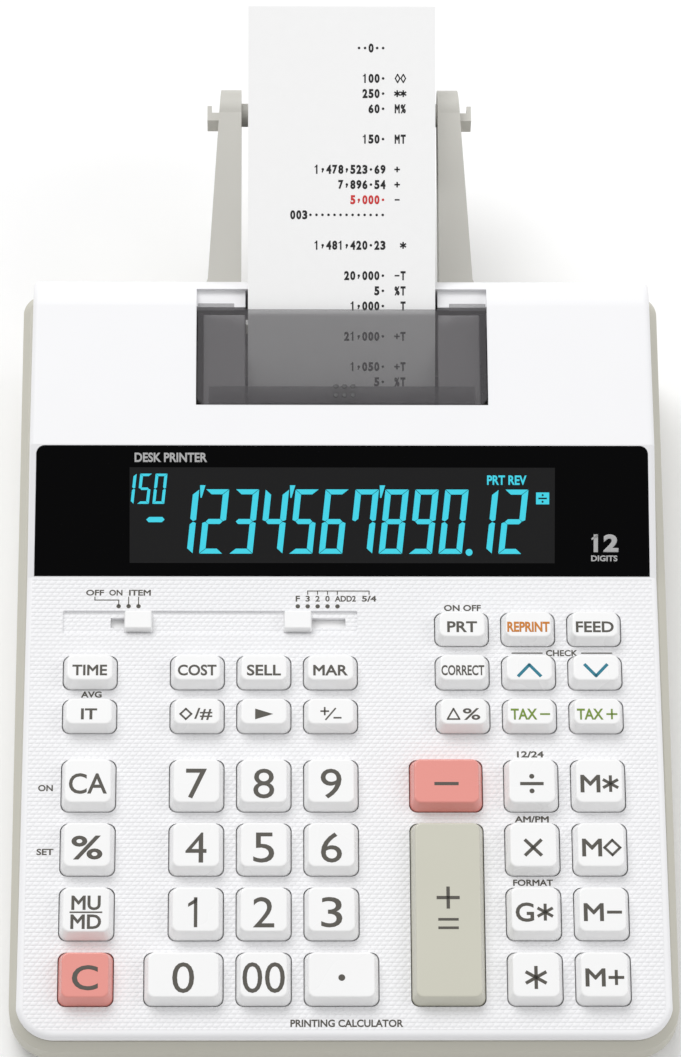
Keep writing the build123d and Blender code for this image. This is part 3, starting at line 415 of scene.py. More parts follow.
M = {
    "white_case": make_white_case(),
    "beige_case": moulded("beige_case_plastic", BEIGE_PLASTIC, 0.5, grain=1500.0, depth=0.012 * MM),
    "beige_arms": moulded("beige_arm_plastic", ARM_PLASTIC, 0.5, grain=1500.0, depth=0.01 * MM),
    "white_keys": moulded("white_key_plastic", KEY_WHITE, 0.28, depth=0.002 * MM, coat=0.15),
    "pink_keys": moulded("pink_key_plastic", PINK_PLASTIC, 0.28, depth=0.002 * MM, coat=0.15),
    "beige_key": moulded("beige_key_plastic", BEIGE_KEY_PLASTIC, 0.3, depth=0.002 * MM, coat=0.15),
    "black_lens": make_lens(),
    "display_module": make_module(),
    "board": make_board(),
    "mat_rubber": moulded("grey_silicone", (0.35, 0.36, 0.35), 0.6),
    "printer_metal": make_metal(),
    "roller_rubber": moulded("roller_rubber_black", (0.02, 0.02, 0.02), 0.7),
    "ink_pad": moulded("ink_felt", (0.012, 0.012, 0.02), 0.85, grain=5000.0, depth=0.04 * MM),
    "smoked_cover": make_smoked(),
    "cover_pip": moulded("smoked_pip_plastic", (0.05, 0.05, 0.052), 0.5),
    "cradle": moulded("grey_cradle_plastic", (0.40, 0.39, 0.40), 0.5),
    "paper": make_paper(),
    "foot_rubber": moulded("foot_rubber_black", (0.03, 0.03, 0.03), 0.75),
    "legend_grey": printed("legend_grey_ink", LEGEND_GREY),
    "legend_orange": printed("legend_orange_ink", LEGEND_ORANGE),
    "legend_teal": printed("legend_teal_ink", LEGEND_TEAL),
    "legend_green": printed("legend_green_ink", LEGEND_GREEN),
    "lens_print": printed("lens_grey_ink", LENS_PRINT),
    "print_black": printed("ribbon_black_ink", PRINT_BLACK),
    "print_red": printed("ribbon_red_ink", PRINT_RED),
    "lit": make_glow(),
}

for entry in frame["record"]["subparts"]:
    mesh = NODES[entry["node"]].data
    mesh.materials.clear()
    mesh.materials.append(M[entry["material_slot"]])


# ================================================================ flat shapes, as closed thin plates

def plate_mesh(name, outlines, thick):
    """Thin closed plates with the given outlines (lists of (x, y), counter-clockwise), lying on z = 0."""
    bm = bmesh.new()
    for outline in outlines:
        low = [bm.verts.new((x, y, 0)) for x, y in outline]
        high = [bm.verts.new((x, y, thick)) for x, y in outline]
        bm.faces.new(list(reversed(low)))
        bm.faces.new(high)
        for i in range(len(outline)):
            j = (i + 1) % len(outline)
            bm.faces.new((low[i], low[j], high[j], high[i]))
    mesh = bpy.data.meshes.new(name)
    bm.to_mesh(mesh)
    bm.free()
    return mesh


def bar(x0, y0, x1, y1, width, extend=0.0):
    """Outline of a straight stroke."""
    length = math.hypot(x1 - x0, y1 - y0)
    ux, uy = (x1 - x0) / length, (y1 - y0) / length
    x0, y0, x1, y1 = x0 - ux * extend, y0 - uy * extend, x1 + ux * extend, y1 + uy * extend
    nx, ny = -uy * width / 2, ux * width / 2
    return [(x0 - nx, y0 - ny), (x1 - nx, y1 - ny), (x1 + nx, y1 + ny), (x0 + nx, y0 + ny)]


def disc(x, y, radius, steps=20):
    return [(x + radius * math.cos(2 * math.pi * i / steps), y + radius * math.sin(2 * math.pi * i / steps))
            for i in range(steps)]


def star(size, width, x=0.0, y=0.0):
    """Six-armed star of three crossing strokes."""
    arms = []
    for degrees in (90, 30, -30):
        dx, dy = math.cos(math.radians(degrees)) * size / 2, math.sin(math.radians(degrees)) * size / 2
        arms.append(bar(x - dx, y - dy, x + dx, y + dy, width))
    return arms


def diamond(size, width, x=0.0, y=0.0):
    r = size / 2
    points = [(x + r, y), (x, y + r), (x - r, y), (x, y - r)]
    return [bar(*points[i], *points[(i + 1) % 4], width, extend=width / 2) for i in range(4)]


def lozenge(width, height, stroke, x=0.0, y=0.0):
    """Tall diamond."""
    points = [(x + width / 2, y), (x, y + height / 2), (x - width / 2, y), (x, y - height / 2)]
    return [bar(*points[i], *points[(i + 1) % 4], stroke, extend=stroke / 3) for i in range(4)]


def plus(size, width, x=0.0, y=0.0):
    return [bar(x - size / 2, y, x + size / 2, y, width), bar(x, y - size / 2, x, y + size / 2, width)]


def minus(size, width, x=0.0, y=0.0):
    return [bar(x - size / 2, y, x + size / 2, y, width)]


def cross(size, width, x=0.0, y=0.0):
    r = size / 2
    return [bar(x - r, y - r, x + r, y + r, width), bar(x - r, y + r, x + r, y - r, width)]


def figure_one(height, width, x=0.0, y=0.0):
    """Figure one: an upright stem with a slanting flag."""
    top = y + height / 2
    tip = x - 0.24 * height
    flag = [(x + width / 2, top), (tip, top - 0.21 * height), (tip, top - 0.32 * height),
            (x + width / 2, top - 0.15 * height)]
    return [bar(x, y - height / 2, x, top, width), flag]


def chevron(size, width, way):
    """Open arrow head pointing up (way 1) or down (way -1)."""
    half, rise = size / 2, size * 0.27
    return [bar(-half, -rise * way, 0, rise * way, width, extend=width * 0.3),
            bar(0, rise * way, half, -rise * way, width, extend=width * 0.3)]


def finish_piece(piece, material, body, surface=None, place=None):
    """Put a piece on a surface, give it its finish and let it ride."""
    if surface is not None:
        piece.matrix_world = surface.matrix(*place)
    piece.data.materials.clear()
    piece.data.materials.append(M[material])
    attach(piece, body)
    return piece


def shape_piece(name, outlines, material, body, surface, place):
    piece = bpy.data.objects.new(name, plate_mesh(name, outlines, INK_THICK))
    bpy.context.scene.collection.objects.link(piece)
    return finish_piece(piece, material, body, surface, place)


def text_mesh(name, text, height, width, weight):
    """Lettering as a closed mesh of the height and width asked for, centred; weight thickens the strokes."""
    curve = bpy.data.curves.new(name, "FONT")
    curve.body = text
    curve.align_x = "CENTER"
    curve.size = 1.0
    curve.bevel_depth = weight
    curve.bevel_resolution = 0
    curve.extrude = 0.5
    curve.resolution_u = 4
    holder = bpy.data.objects.new(name + "_curve", curve)
    bpy.context.scene.collection.objects.link(holder)
    bpy.context.view_layer.update()
    mesh = bpy.data.meshes.new_from_object(holder.evaluated_get(bpy.context.evaluated_depsgraph_get()))
    bpy.data.objects.remove(holder)
    bpy.data.curves.remove(curve)
    mesh.name = name
    xs = [v.co.x for v in mesh.vertices]
    ys = [v.co.y for v in mesh.vertices]
    scale_y = height / (max(ys) - min(ys))
    scale_x = width / (max(xs) - min(xs))
    middle_x, middle_y = (max(xs) + min(xs)) / 2, (max(ys) + min(ys)) / 2
    for v in mesh.vertices:
        v.co.x = (v.co.x - middle_x) * scale_x
        v.co.y = (v.co.y - middle_y) * scale_y
        v.co.z = (v.co.z + 0.5 + weight) / (1 + 2 * weight) * INK_THICK
    return mesh


def text_piece(name, text, height, width, weight, material, body, surface, place):
    piece = bpy.data.objects.new(name, text_mesh(name, text, height, width, weight))
    bpy.context.scene.collection.objects.link(piece)
    return finish_piece(piece, material, body, surface, place)


# ================================================================ key legends

def key_top(node, across=0.0, along=0.0):
    """Place on a key's top, off its middle by the given amounts."""
    x, v = key_centre(node)
    return x + across, v + along - LEGEND_DROP, KEY_HEIGHT + INK_LIFT


def key_text(node, text, height, width, material="legend_grey", weight=0.022, along=0.0, across=0.0,
             suffix=""):
    """Lettering on a key, with its sizes in millimetres."""
    place = key_top(node, across * MM, along * MM)
    text_piece("legend" + node[3:] + suffix, text, LETTER_SCALE * height * MM, width * MM, weight, material,
               BODY_OF[node], DECK, place)


def key_shape(node, outlines, material="legend_grey", across=0.0, along=0.0, suffix="_sign"):
    shape_piece("legend" + node[3:] + suffix, outlines, material, BODY_OF[node], DECK,
                key_top(node, across * MM, along * MM))


def word_keys():
    """Function keys with a word on them."""
    words = (("key_time", "TIME", 3.2, 10.4), ("key_cost", "COST", 3.3, 11.6),
             ("key_sell", "SELL", 3.3, 10.2), ("key_margin", "MAR", 3.2, 10.4),
             ("key_print_on", "PRT", 3.3, 9.0), ("key_feed", "FEED", 3.3, 11.4),
             ("key_item_count", "IT", 3.3, 4.8), ("key_correct", "CORRECT", 3.1, 12.9))
    for node, text, height, width in words:
        key_text(node, text, height, width)
    key_text("key_reprint", "REPRINT", 3.1, 12.8, material="legend_orange", weight=0.034)
    for node, sign, across in (("key_tax_minus", minus(3.0 * MM, 0.55 * MM), -1.9),
                               ("key_tax_plus", plus(3.3 * MM, 0.55 * MM), -2.1)):
        key_text(node, "TAX", 3.3, 7.9, material="legend_green", across=across)
        key_shape(node, sign, material="legend_green", across=4.4)


def number_keys():
    """Digit keys."""
    height = 8.8
    key_shape("key_1", figure_one(9.2 * MM, BOLD))
    for digit in "23456789":
        key_text("key_" + digit, digit, height, 6.2, weight=0.0)
    key_text("key_0", "0", height, 6.4, weight=0.0)
    key_text("key_double_zero", "00", height, 12.4, weight=0.0)
    key_shape("key_point", [disc(0, 0, 1.0 * MM)])


def operator_keys():
    """Keys with one drawn sign, and the keys with a letter on the left and a sign on the right."""
    dots = [disc(0, 2.3 * MM, 0.75 * MM), disc(0, -2.3 * MM, 0.75 * MM)]
    key_shape("key_divide", minus(7.0 * MM, BOLD) + dots)
    key_shape("key_multiply", cross(5.0 * MM, BOLD))
    key_shape("key_total", star(7.0 * MM, BOLD))
    memory = (("key_memory_total", star(5.2 * MM, MEDIUM), 3.4),
              ("key_memory_subtotal", diamond(4.6 * MM, 0.75 * MM), 3.4),
              ("key_memory_minus", minus(4.4 * MM, MEDIUM), 3.5),
              ("key_memory_plus", plus(4.6 * MM, MEDIUM), 3.5))
    for node, sign, across in memory:
        key_text(node, "M", 5.2, 5.9, across=-2.6, weight=0.016)
        key_shape(node, sign, across=across)
    key_text("key_grand_total", "G", 5.6, 5.4, across=-2.9, weight=0.016)
    key_shape("key_grand_total", star(5.2 * MM, MEDIUM), across=3.1)
    key_shape("key_minus", minus(7.2 * MM, BOLD))


def letter_keys():
    """Keys on the left with large letters or a per cent sign, and the tall key of the sum."""
    key_text("key_clear", "C", 7.2, 7.6, weight=0.012)
    key_text("key_clear_all", "CA", 6.1, 11.3, weight=0.011)
    key_text("key_percent", "%", 7.0, 9.2, weight=0.016)
    key_text("key_markup", "MU", 4.2, 8.6, along=2.9, suffix="_up")
    key_text("key_markup", "MD", 4.2, 9.0, along=-2.9, suffix="_down")
    key_shape("key_markup", minus(9.6 * MM, 0.45 * MM))
    key_shape("key_plus_equals", plus(6.8 * MM, BOLD), along=4.5, suffix="_plus")
    equals = minus(6.0 * MM, 0.8 * MM, y=1.3 * MM) + minus(6.0 * MM, 0.8 * MM, y=-1.3 * MM)
    key_shape("key_plus_equals", equals, along=-3.5, suffix="_equals")


def small_sign_keys():
    """Low keys of the upper rows with a drawn sign."""
    for node, way in (("key_check_up", 1), ("key_check_down", -1)):
        key_shape(node, chevron(6.6 * MM, 0.95 * MM, way), material="legend_teal")
    key_shape("key_shift", [[(-2.6 * MM, -1.7 * MM), (2.8 * MM, 0), (-2.6 * MM, 1.7 * MM)]])
    key_shape("key_non_add", diamond(3.3 * MM, 0.55 * MM, x=-3.3 * MM), suffix="_diamond")
    key_text("key_non_add", "/#", 3.6, 5.4, across=1.9, weight=0.014)
    slash = [bar(-1.6 * MM, -1.9 * MM, 1.5 * MM, 1.9 * MM, 0.45 * MM)]
    key_shape("key_sign", slash + plus(2.6 * MM, FINE, x=-1.8 * MM, y=0.9 * MM)
              + minus(2.4 * MM, FINE, x=2.0 * MM, y=-1.2 * MM))
    triangle = [(-1.8 * MM, -1.6 * MM), (1.8 * MM, -1.6 * MM), (0, 1.7 * MM)]
    edges = [bar(*triangle[i], *triangle[(i + 1) % 3], FINE, extend=0.2 * MM) for i in range(3)]
    key_shape("key_delta_percent", edges, across=-3.0)
    key_text("key_delta_percent", "%", 3.5, 5.2, across=2.4, weight=0.014)


# ================================================================ deck printing

def beside_key(node, across=0.0, along=0.0):
    """Place on the deck off a key's middle."""
    x, v = key_centre(node)
    return x + across * MM, v + along * MM, INK_LIFT


def deck_text(name, text, height, width, place):
    """Caption on the deck, with its sizes in millimetres."""
    text_piece("deck_" + name, text, height * MM, width * MM, 0.026, "legend_grey", "root", DECK, place)


def deck_lines(name, outlines, place=(0, 0, INK_LIFT)):
    shape_piece("deck_" + name, outlines, "legend_grey", "root", DECK, place)


def deck_printing():
    """Small captions on the deck."""
    deck_text("on_off", "ON OFF", 2.0, 11.2, beside_key("key_print_on", 0.4, 7.1))
    between_arrows = beside_key("key_check_up", 10.2, 6.5)
    deck_text("check", "CHECK", 2.0, 9.6, between_arrows)
    lines = [bar(-15.2 * MM, 0, -5.8 * MM, 0, 0.35 * MM), bar(5.8 * MM, 0, 15.2 * MM, 0, 0.35 * MM)]
    deck_lines("check_lines", lines, between_arrows)
    deck_text("avg", "AVG", 2.0, 6.2, beside_key("key_item_count", 0.4, 7.1))
    deck_text("on", "ON", 2.0, 4.4, beside_key("key_clear_all", -12.8, -0.6))
    deck_text("set", "SET", 2.0, 5.0, beside_key("key_percent", -12.6, -0.6))
    deck_text("clock", "12/24", 2.0, 8.0, beside_key("key_divide", 0, 10.1))
    deck_text("noon", "AM/PM", 2.0, 10.2, beside_key("key_multiply", 0, 9.6))
    deck_text("format", "FORMAT", 2.0, 11.8, beside_key("key_grand_total", 0, 9.8))
    foot = DECK.extent("key_double_zero")[0][1]
    deck_text("caption", "PRINTING CALCULATOR", 2.3, 33.0, (0.6 * MM, foot - 4.3 * MM, INK_LIFT))


SWITCH_STEP = 3.0 * MM          # from one switch position to the next
DOT_RADIUS = 0.68 * MM
LEADER = 0.3 * MM               # width of the leader lines
DOTS_ALONG = DECK.extent("mode_switch")[1][1] + 1.9 * MM
WORDS_ALONG = DOTS_ALONG + 4.4 * MM


def mode_printing():
    """Dots, captions and leader lines of the left slide switch, whose knob rests at its right-hand dot."""
    x = key_centre("mode_switch")[0]
    deck_lines("mode_dots", [disc(x - i * SWITCH_STEP, DOTS_ALONG, DOT_RADIUS) for i in range(3)])
    left_word = x - 13.2 * MM
    deck_text("mode_off", "OFF", 1.9, 5.4, (left_word, WORDS_ALONG, INK_LIFT))
    deck_text("mode_on", "ON", 1.9, 4.0, (x - 6.9 * MM, WORDS_ALONG, INK_LIFT))
    deck_text("mode_item", "ITEM", 1.9, 6.6, (x + 0.4 * MM, WORDS_ALONG, INK_LIFT))
    under_words = WORDS_ALONG - 1.3 * MM
    elbow = DOTS_ALONG + 2.0 * MM
    left_dot, middle_dot = x - 2 * SWITCH_STEP, x - SWITCH_STEP
    deck_lines("mode_lines", [
        bar(left_word, under_words, left_word, elbow, LEADER),
        bar(left_word, elbow, left_dot, elbow, LEADER, extend=LEADER / 2),
        bar(left_dot, elbow, left_dot, DOTS_ALONG, LEADER),
        bar(middle_dot, DOTS_ALONG, middle_dot, under_words, LEADER),
        bar(x, DOTS_ALONG, x, under_words, LEADER)])


def rounding_printing():
    """Dots, captions and bracket of the right slide switch, whose knob rests at its left-hand dot."""
    x = key_centre("rounding_switch")[0]
    deck_lines("round_dots", [disc(x + i * SWITCH_STEP, DOTS_ALONG, DOT_RADIUS) for i in range(5)])
    words = WORDS_ALONG - 1.9 * MM
    right_word = x + 21.6 * MM
    for i, mark in enumerate("F320"):
        deck_text("round_" + mark, mark, 1.9, 1.3, (x + i * SWITCH_STEP, words, INK_LIFT))
    deck_text("round_add", "ADD2", 1.9, 6.4, (x + 14.4 * MM, words, INK_LIFT))
    deck_text("round_half", "5/4", 1.9, 4.4, (right_word, words, INK_LIFT))
    top = WORDS_ALONG + 0.6 * MM
    drops = [x + i * SWITCH_STEP for i in range(1, 5)] + [right_word]
    bracket = [bar(drops[0], top, right_word, top, LEADER, extend=LEADER / 2)]
    bracket += [bar(drop, top, drop, top - 1.2 * MM, LEADER) for drop in drops]
    deck_lines("round_lines", bracket)


# ================================================================ display

SEGMENTS = {"0": "abcdef", "1": "bc", "2": "abged", "3": "abgcd", "4": "fgbc", "5": "afgcd", "6": "afgedc",
            "7": "abcf", "8": "abcdefg", "9": "gfabcd"}


def dash(x0, x1, y, stroke, gap):
    """Level segment with pointed ends."""
    half = stroke / 2
    return [(x0 + gap, y), (x0 + gap + half, y - half), (x1 - gap - half, y - half), (x1 - gap, y),
            (x1 - gap - half, y + half), (x0 + gap + half, y + half)]


def segment_figure(char, x, y, width, height, stroke):
    """Seven-segment figure with mitred corners, upright; (x, y) is its lower left corner, mid-stroke."""
    half, mid, gap = stroke / 2, height / 2, stroke * 0.06
    level = 0.85 * half
    top = [(-half + gap, height + level), (half + gap, height - level), (width - half - gap, height - level),
           (width + half - gap, height + level)]
    upper = [(-half, height + level - gap), (-half, mid + 0.4 * half + gap), (0, mid + gap),
             (half, mid + level + gap), (half, height - level - gap)]
    shapes = {"a": top, "d": [(px, height - py) for px, py in reversed(top)],
              "f": upper, "b": [(width - px, py) for px, py in reversed(upper)],
              "e": [(px, height - py) for px, py in reversed(upper)],
              "c": [(width - px, height - py) for px, py in upper],
              "g": dash(0, width, mid, 2 * level, gap)}
    return [[(x + px, y + py) for px, py in shapes[name]] for name in SEGMENTS[char]]


def slanted(outlines, lean, base):
    return [[(px + (py - base) * lean, py) for px, py in outline] for outline in outlines]


FIELD_WIDTH, FIELD_HEIGHT = 129 * MM, 29 * MM           # see-through part of the lens
lens_low, lens_high = LENS.extent("display_window")
FIELD_MIDDLE = (lens_low[1] + lens_high[1]) / 2 - 1.3 * MM
FIELD_LEVEL = lens_high[2] + INK_LIFT
LIT_LEVEL = FIELD_LEVEL + INK_THICK + INK_LIFT
THOUSANDS_TICK = ((-0.5, 5.3), (-0.1, 5.3), (0.65, 9.1), (-1.0, 9.1))      # millimetres


def lens_shape(name, outlines, material, across, along, level):
    """Plates on the lens, placed in millimetres from the middle of the see-through part."""
    place = (across * MM, FIELD_MIDDLE + along * MM, level)
    shape_piece(name, outlines, material, "root", LENS, place)


def lens_text(name, text, height, width, weight, material, across, along, level):
    """Lettering on the lens, sized and placed in millimetres from the middle of the see-through part."""
    place = (across * MM, FIELD_MIDDLE + along * MM, level)
    text_piece(name, text, height * MM, width * MM, weight, material, "root", LENS, place)


def display():
    """See-through field of the lens with its lit figures and signs."""
    field = [bar(-FIELD_WIDTH / 2, 0, FIELD_WIDTH / 2, 0, FIELD_HEIGHT)]
    lens_shape("display_field", field, "display_module", 0, 0, FIELD_LEVEL)
    height, width, stroke, pitch = 18.0 * MM, 5.3 * MM, 1.8 * MM, 9.08 * MM
    left, base = -51.55 * MM, -10.9 * MM
    outlines = []
    for i, char in enumerate("123456789012"):
        x = left + i * pitch
        outlines += segment_figure(char, x, base, width, height, stroke)
        if i in (0, 3, 6):
            tick = x + width + 2.0 * MM
            outlines.append([(tick + px * MM, py * MM) for px, py in THOUSANDS_TICK])
    outlines = slanted(outlines, 0.105, base)
    outlines.append(disc(38.5 * MM, -11.2 * MM, 1.05 * MM))
    lens_shape("display_figures", outlines, "lit", 0, 0, LIT_LEVEL)
    count_base = 3.8 * MM
    count = []
    for i, char in enumerate("150"):
        count += segment_figure(char, (-66.45 + 4.66 * i) * MM, count_base, 2.7 * MM, 8.4 * MM, 0.9 * MM)
    count.append(dash(-58.9 * MM, -53.3 * MM, -1.35 * MM, 1.6 * MM, 0))
    lens_shape("display_count", slanted(count, 0.11, count_base), "lit", 0, 0, LIT_LEVEL)
    lens_text("display_mode", "PRT REV", 2.9, 12.0, 0.03, "lit", 49.9, 10.7, LIT_LEVEL)
    lens_shape("display_icon", minus(4.0 * MM, 3.6 * MM), "lit", 60.8, 5.2, LIT_LEVEL)
    marks = minus(2.6 * MM, 0.45 * MM) + [disc(0, 1.0 * MM, 0.32 * MM, 12), disc(0, -1.0 * MM, 0.32 * MM, 12)]
    lens_shape("display_icon_marks", marks, "display_module", 60.8, 5.2, LIT_LEVEL + INK_THICK)


def lens_printing():
    """Grey words on the black part of the lens."""
    above_field = FIELD_HEIGHT / MM / 2 + 3.0
    lens_text("lens_caption", "DESK PRINTER", 2.9, 22.0, 0.03, "lens_print", -52.0, above_field, FIELD_LEVEL)
    lens_shape("lens_one", figure_one(5.4 * MM, 1.3 * MM, x=-2.2 * MM), "lens_print", 79.2, -8.4, FIELD_LEVEL)
    lens_text("lens_two", "2", 5.4, 4.6, 0.045, "lens_print", 81.6, -8.4, FIELD_LEVEL)
    lens_text("lens_digits_word", "DIGITS", 1.8, 8.0, 0.03, "lens_print", 79.6, -13.0, FIELD_LEVEL)


# ================================================================ paper

# line number down the tape, figures, function marks
PRINTED_LINES = (
    (0, "..0..", ""), (2, "100.", "<>"), (3, "250.", "**"), (4, "60.", "M%"), (6, "150.", "MT"),
    (8, "1,478,523.69", "+"), (9, "7,896.54", "+"), (10, "5,000.", "-"), (11, "003", ""),
    (13, "1,481,420.23", "*"), (15, "20,000.", "-T"), (16, "5.", "%T"), (17, "1,000.", "T"),
    (19, "21,000.", "+T"), (21, "1,050.", "+T"), (22, "5.", "%T"))
TYPE_HEIGHT = 2.8 * MM
TYPE_WIDTH = 1.85 * MM          # from one printed figure to the next
TYPE_STROKE = 0.46 * MM
DOT = [disc(0, 0, 0.40 * MM, 12)]
TYPED_SIGNS = {
    ".": DOT,
    ",": DOT + [bar(0.2 * MM, 0, -0.22 * MM, -0.34 * TYPE_HEIGHT, 0.36 * MM)],
    "-": minus(0.8 * TYPE_WIDTH, 0.45 * MM),
    "+": plus(1.7 * MM, TYPE_STROKE),
    "*": star(2.1 * MM, TYPE_STROKE),
    "<": lozenge(1.4 * MM, 2.5 * MM, 0.36 * MM, x=TYPE_WIDTH)
         + lozenge(1.4 * MM, 2.5 * MM, 0.36 * MM, x=TYPE_WIDTH - 1.75 * MM),
    "1": figure_one(TYPE_HEIGHT, 0.44 * MM),
}


def typed(name, text, right, along, material):
    """Printed figures ending at a right edge, each on its own column; "<>" stands for a pair of lozenges."""
    for i, char in enumerate(reversed(text)):
        place = (right - (i + 0.5) * TYPE_WIDTH, along, INK_LIFT)
        if char in TYPED_SIGNS:
            shape_piece(f"{name}_{i}", TYPED_SIGNS[char], material, "root", STRIP, place)
        elif char != ">":
            text_piece(f"{name}_{i}", char, TYPE_HEIGHT, 0.84 * TYPE_WIDTH, 0.05, material, "root", STRIP,
                       place)


def paper_printing():
    """Tape printed with a sample calculation; an amount taken away prints in red."""
    first = STRIP.extent("paper_strip")[1][1] - 12.8 * MM
    line_pitch = 4.66 * MM
    figures_right, item_count_right, marks_left = 13.6 * MM, -10.4 * MM, 16.1 * MM
    for line, figures, marks in PRINTED_LINES:
        along = first - line * line_pitch
        is_item_count = figures == "003"
        right = item_count_right if is_item_count else figures_right
        typed(f"tape_{line}", figures, right, along, "print_red" if marks == "-" else "print_black")
        if is_item_count:
            dots = [disc(-9.6 * MM + TYPE_WIDTH * i, 0, 0.40 * MM, 12) for i in range(13)]
            shape_piece("tape_dots", dots, "print_black", "root", STRIP, (0, along, INK_LIFT))
        if marks:
            columns = 1 if marks in ("+", "-") else 2
            typed(f"tape_marks_{line}", marks, marks_left + TYPE_WIDTH * columns, along, "print_black")


# ================================================================ small trim, and a smoked layer of painted shade

def lathe(name, profile, steps, material, body, centre):
    """Closed turned piece from (radius, height) points; the first and last lie on the axis."""
    bm = bmesh.new()
    rings = []
    for radius, height in profile:
        if radius < 1e-9:
            rings.append([bm.verts.new((0, 0, height))])
            continue
        ring = []
        for i in range(steps):
            angle = 2 * math.pi * i / steps
            ring.append(bm.verts.new((radius * math.cos(angle), radius * math.sin(angle), height)))
        rings.append(ring)
    for low, high in zip(rings, rings[1:]):
        for i in range(steps):
            j = (i + 1) % steps
            if len(low) == 1:
                bm.faces.new((low[0], high[j], high[i]))
            elif len(high) == 1:
                bm.faces.new((low[i], low[j], high[0]))
            else:
                bm.faces.new((low[i], low[j], high[j], high[i]))
    bmesh.ops.recalc_face_normals(bm, faces=bm.faces)
    mesh = bpy.data.meshes.new(name)
    bm.to_mesh(mesh)
    bm.free()
    piece = bpy.data.objects.new(name, mesh)
    bpy.context.scene.collection.objects.link(piece)
    piece.matrix_world = Matrix.Translation(centre)
    return finish_piece(piece, material, body)


def cover_grips():
    """Small round pips moulded on the printer cover."""
    lows, highs = COVER.extent("printer_cover")
    for i in range(3):
        for j in range(2):
            centre = COVER.at((2.6 * i - 1.9) * MM, lows[1] + (2.7 + 3.0 * j) * MM, highs[2])
            lathe(f"cover_pip_{i}_{j}", [(0, -0.05 * MM), (0.8 * MM, -0.05 * MM), (0.7 * MM, 0.12 * MM),
                                        (0, 0.16 * MM)], 16, "cover_pip", "printer_cover", centre)


def slab(name, low, high, edge, material, body, surface):
    """Block with softened edges between two (across, along, above) corners of a surface."""
    bm = bmesh.new()
    corners = [[x, y, z] for x in (low[0], high[0]) for y in (low[1], high[1]) for z in (low[2], high[2])]
    made = [bm.verts.new(corner) for corner in corners]
    for face in ((0, 1, 3, 2), (4, 6, 7, 5), (0, 4, 5, 1), (2, 3, 7, 6), (0, 2, 6, 4), (1, 5, 7, 3)):
        bm.faces.new([made[i] for i in face])
    bmesh.ops.bevel(bm, geom=bm.edges[:], offset=edge, segments=3, profile=0.5, affect="EDGES")
    bmesh.ops.recalc_face_normals(bm, faces=bm.faces)
    mesh = bpy.data.meshes.new(name)
    bm.to_mesh(mesh)
    bm.free()
    piece = bpy.data.objects.new(name, mesh)
    bpy.context.scene.collection.objects.link(piece)
    return finish_piece(piece, material, body, surface, (0, 0, 0))


def printer_cradle():
    """Grey plastic ledges beside the paper, seen through the printer cover."""
    lows, highs = COVER.extent("printer_cover")
    paper_edge = COVER.extent("paper_strip")[1][0]
    level = highs[2]
    for side, name in ((-1, "left"), (1, "right")):
        across = sorted((side * (paper_edge + 0.8 * MM), side * (highs[0] - 4.7 * MM)))
        slab(f"printer_cradle_{name}", (across[0], lows[1] + 1.2 * MM, level - 6.6 * MM),
             (across[1], highs[1] - 1.5 * MM, level - 5.0 * MM), 0.5 * MM, "cradle", "root", COVER)


def cover_shade_layer():
    """Second smoked layer along the front of the printer cover's underside: painted shade that darkens and hides
    the paper where it curves down into the printer.
    """
    lows, highs = COVER.extent("printer_cover")
    under = highs[2] - 2.05 * MM
    slab("cover_shade_layer", (lows[0] + 6.5 * MM, lows[1] + 1.0 * MM, under - 1.2 * MM),
         (highs[0] - 6.5 * MM, lows[1] + 6.6 * MM, under), 0.3 * MM, "smoked_cover", "printer_cover", COVER)


def switch_shutters():
    """White shutter plates under the case wall that follow the slide switches and close their slots."""
    half_width = 2.6 * MM
    for node, reach in (("mode_switch", 9.2 * MM), ("rounding_switch", 15.2 * MM)):
        x, v = key_centre(node)
        low = (x - reach, v - half_width, -3.3 * MM)
        high = (x + reach, v + half_width, -2.7 * MM)
        slab(node + "_shutter", low, high, 0.15 * MM, "white_keys", node, DECK)


# ================================================================ stage, light and camera

def stage():
    """Plain pale floor."""
    mesh = plate_mesh("floor", [[(-4, -4), (4, -4), (4, 4), (-4, 4)]], 0.01)
    floor = bpy.data.objects.new("floor", mesh)
    bpy.context.scene.collection.objects.link(floor)
    floor.location = (0, 0, CAD_BOX[0][2] - 0.0101)
    material, tree, shader = new_material("pale_floor", (0.96, 0.96, 0.96), 0.8)
    grains = use_group(tree, GRAIN, Scale=30.0, Drift=3.0)
    tinted(tree, shader, (0.96, 0.96, 0.96), grains.outputs["Mask"], 0.01)
    mesh.materials.append(material)


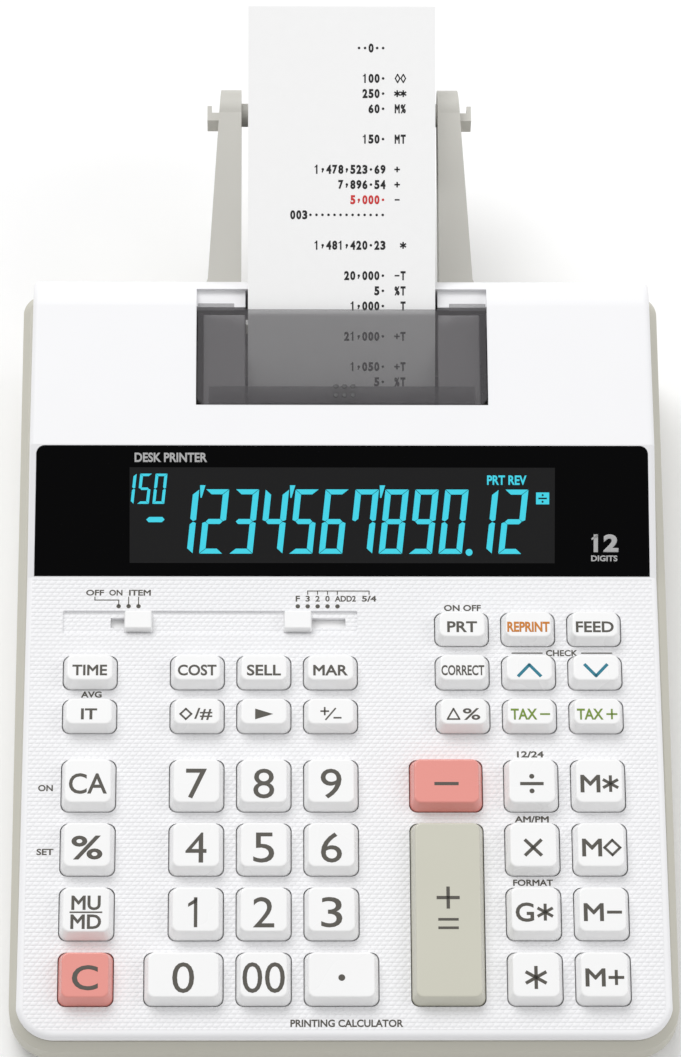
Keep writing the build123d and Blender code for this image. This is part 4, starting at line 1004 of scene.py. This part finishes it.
def area_light(name, place, size, power):
    """Rectangular light aimed at the middle of the object's foot."""
    data = bpy.data.lights.new(name, "AREA")
    data.shape = "RECTANGLE"
    data.size, data.size_y = size
    data.energy = power
    light = bpy.data.objects.new(name, data)
    bpy.context.scene.collection.objects.link(light)
    light.location = place
    light.rotation_euler = (-Vector(place)).to_track_quat("-Z", "Y").to_euler()


def lights():
    """Soft studio light: bright surround, large panel above the rear left, softer fill on the right."""
    world = bpy.data.worlds.new("studio")
    bpy.context.scene.world = world
    world.use_nodes = True
    background = world.node_tree.nodes["Background"]
    background.inputs["Color"].default_value = (1, 1, 1, 1)
    background.inputs["Strength"].default_value = 0.58
    area_light("overhead_panel", (-0.9, 1.8, 3.0), (2.6, 1.8), 70)
    area_light("right_fill", (1.6, 0.0, 1.5), (1.0, 1.0), 7)
    bpy.context.scene.view_settings.view_transform = "Standard"


CAMERA_PLACE = Vector((-0.02430, -0.73690, 1.28935))
CAMERA_ELEVATION = math.radians(59.618)
CAMERA_YAW = math.radians(-1.864)
CAMERA_ROLL = math.radians(1.669)
CAMERA_FOCAL = 4.5014          # focal length as a multiple of the picture's height


def camera():
    """Camera above the front edge, looking down at the keys, level but for a slight roll."""
    back = Vector((math.sin(CAMERA_YAW) * math.cos(CAMERA_ELEVATION),
                   -math.cos(CAMERA_YAW) * math.cos(CAMERA_ELEVATION), math.sin(CAMERA_ELEVATION)))
    right = Vector((0, 0, 1)).cross(back).normalized()
    up = back.cross(right)
    rolled_right = right * math.cos(CAMERA_ROLL) + up * math.sin(CAMERA_ROLL)
    rolled_up = up * math.cos(CAMERA_ROLL) - right * math.sin(CAMERA_ROLL)
    data = bpy.data.cameras.new("camera")
    data.sensor_fit = "VERTICAL"
    data.sensor_height = 24.0
    data.lens = CAMERA_FOCAL * data.sensor_height
    data.clip_end = 20
    holder = bpy.data.objects.new("camera", data)
    bpy.context.scene.collection.objects.link(holder)
    axes = Matrix((rolled_right, rolled_up, back)).transposed().to_4x4()
    holder.matrix_world = Matrix.Translation(CAMERA_PLACE) @ axes
    bpy.context.scene.camera = holder


word_keys()
number_keys()
operator_keys()
letter_keys()
small_sign_keys()
deck_printing()
mode_printing()
rounding_printing()
display()
lens_printing()
paper_printing()
cover_grips()
printer_cradle()
cover_shade_layer()
switch_shutters()
stage()
lights()
camera()
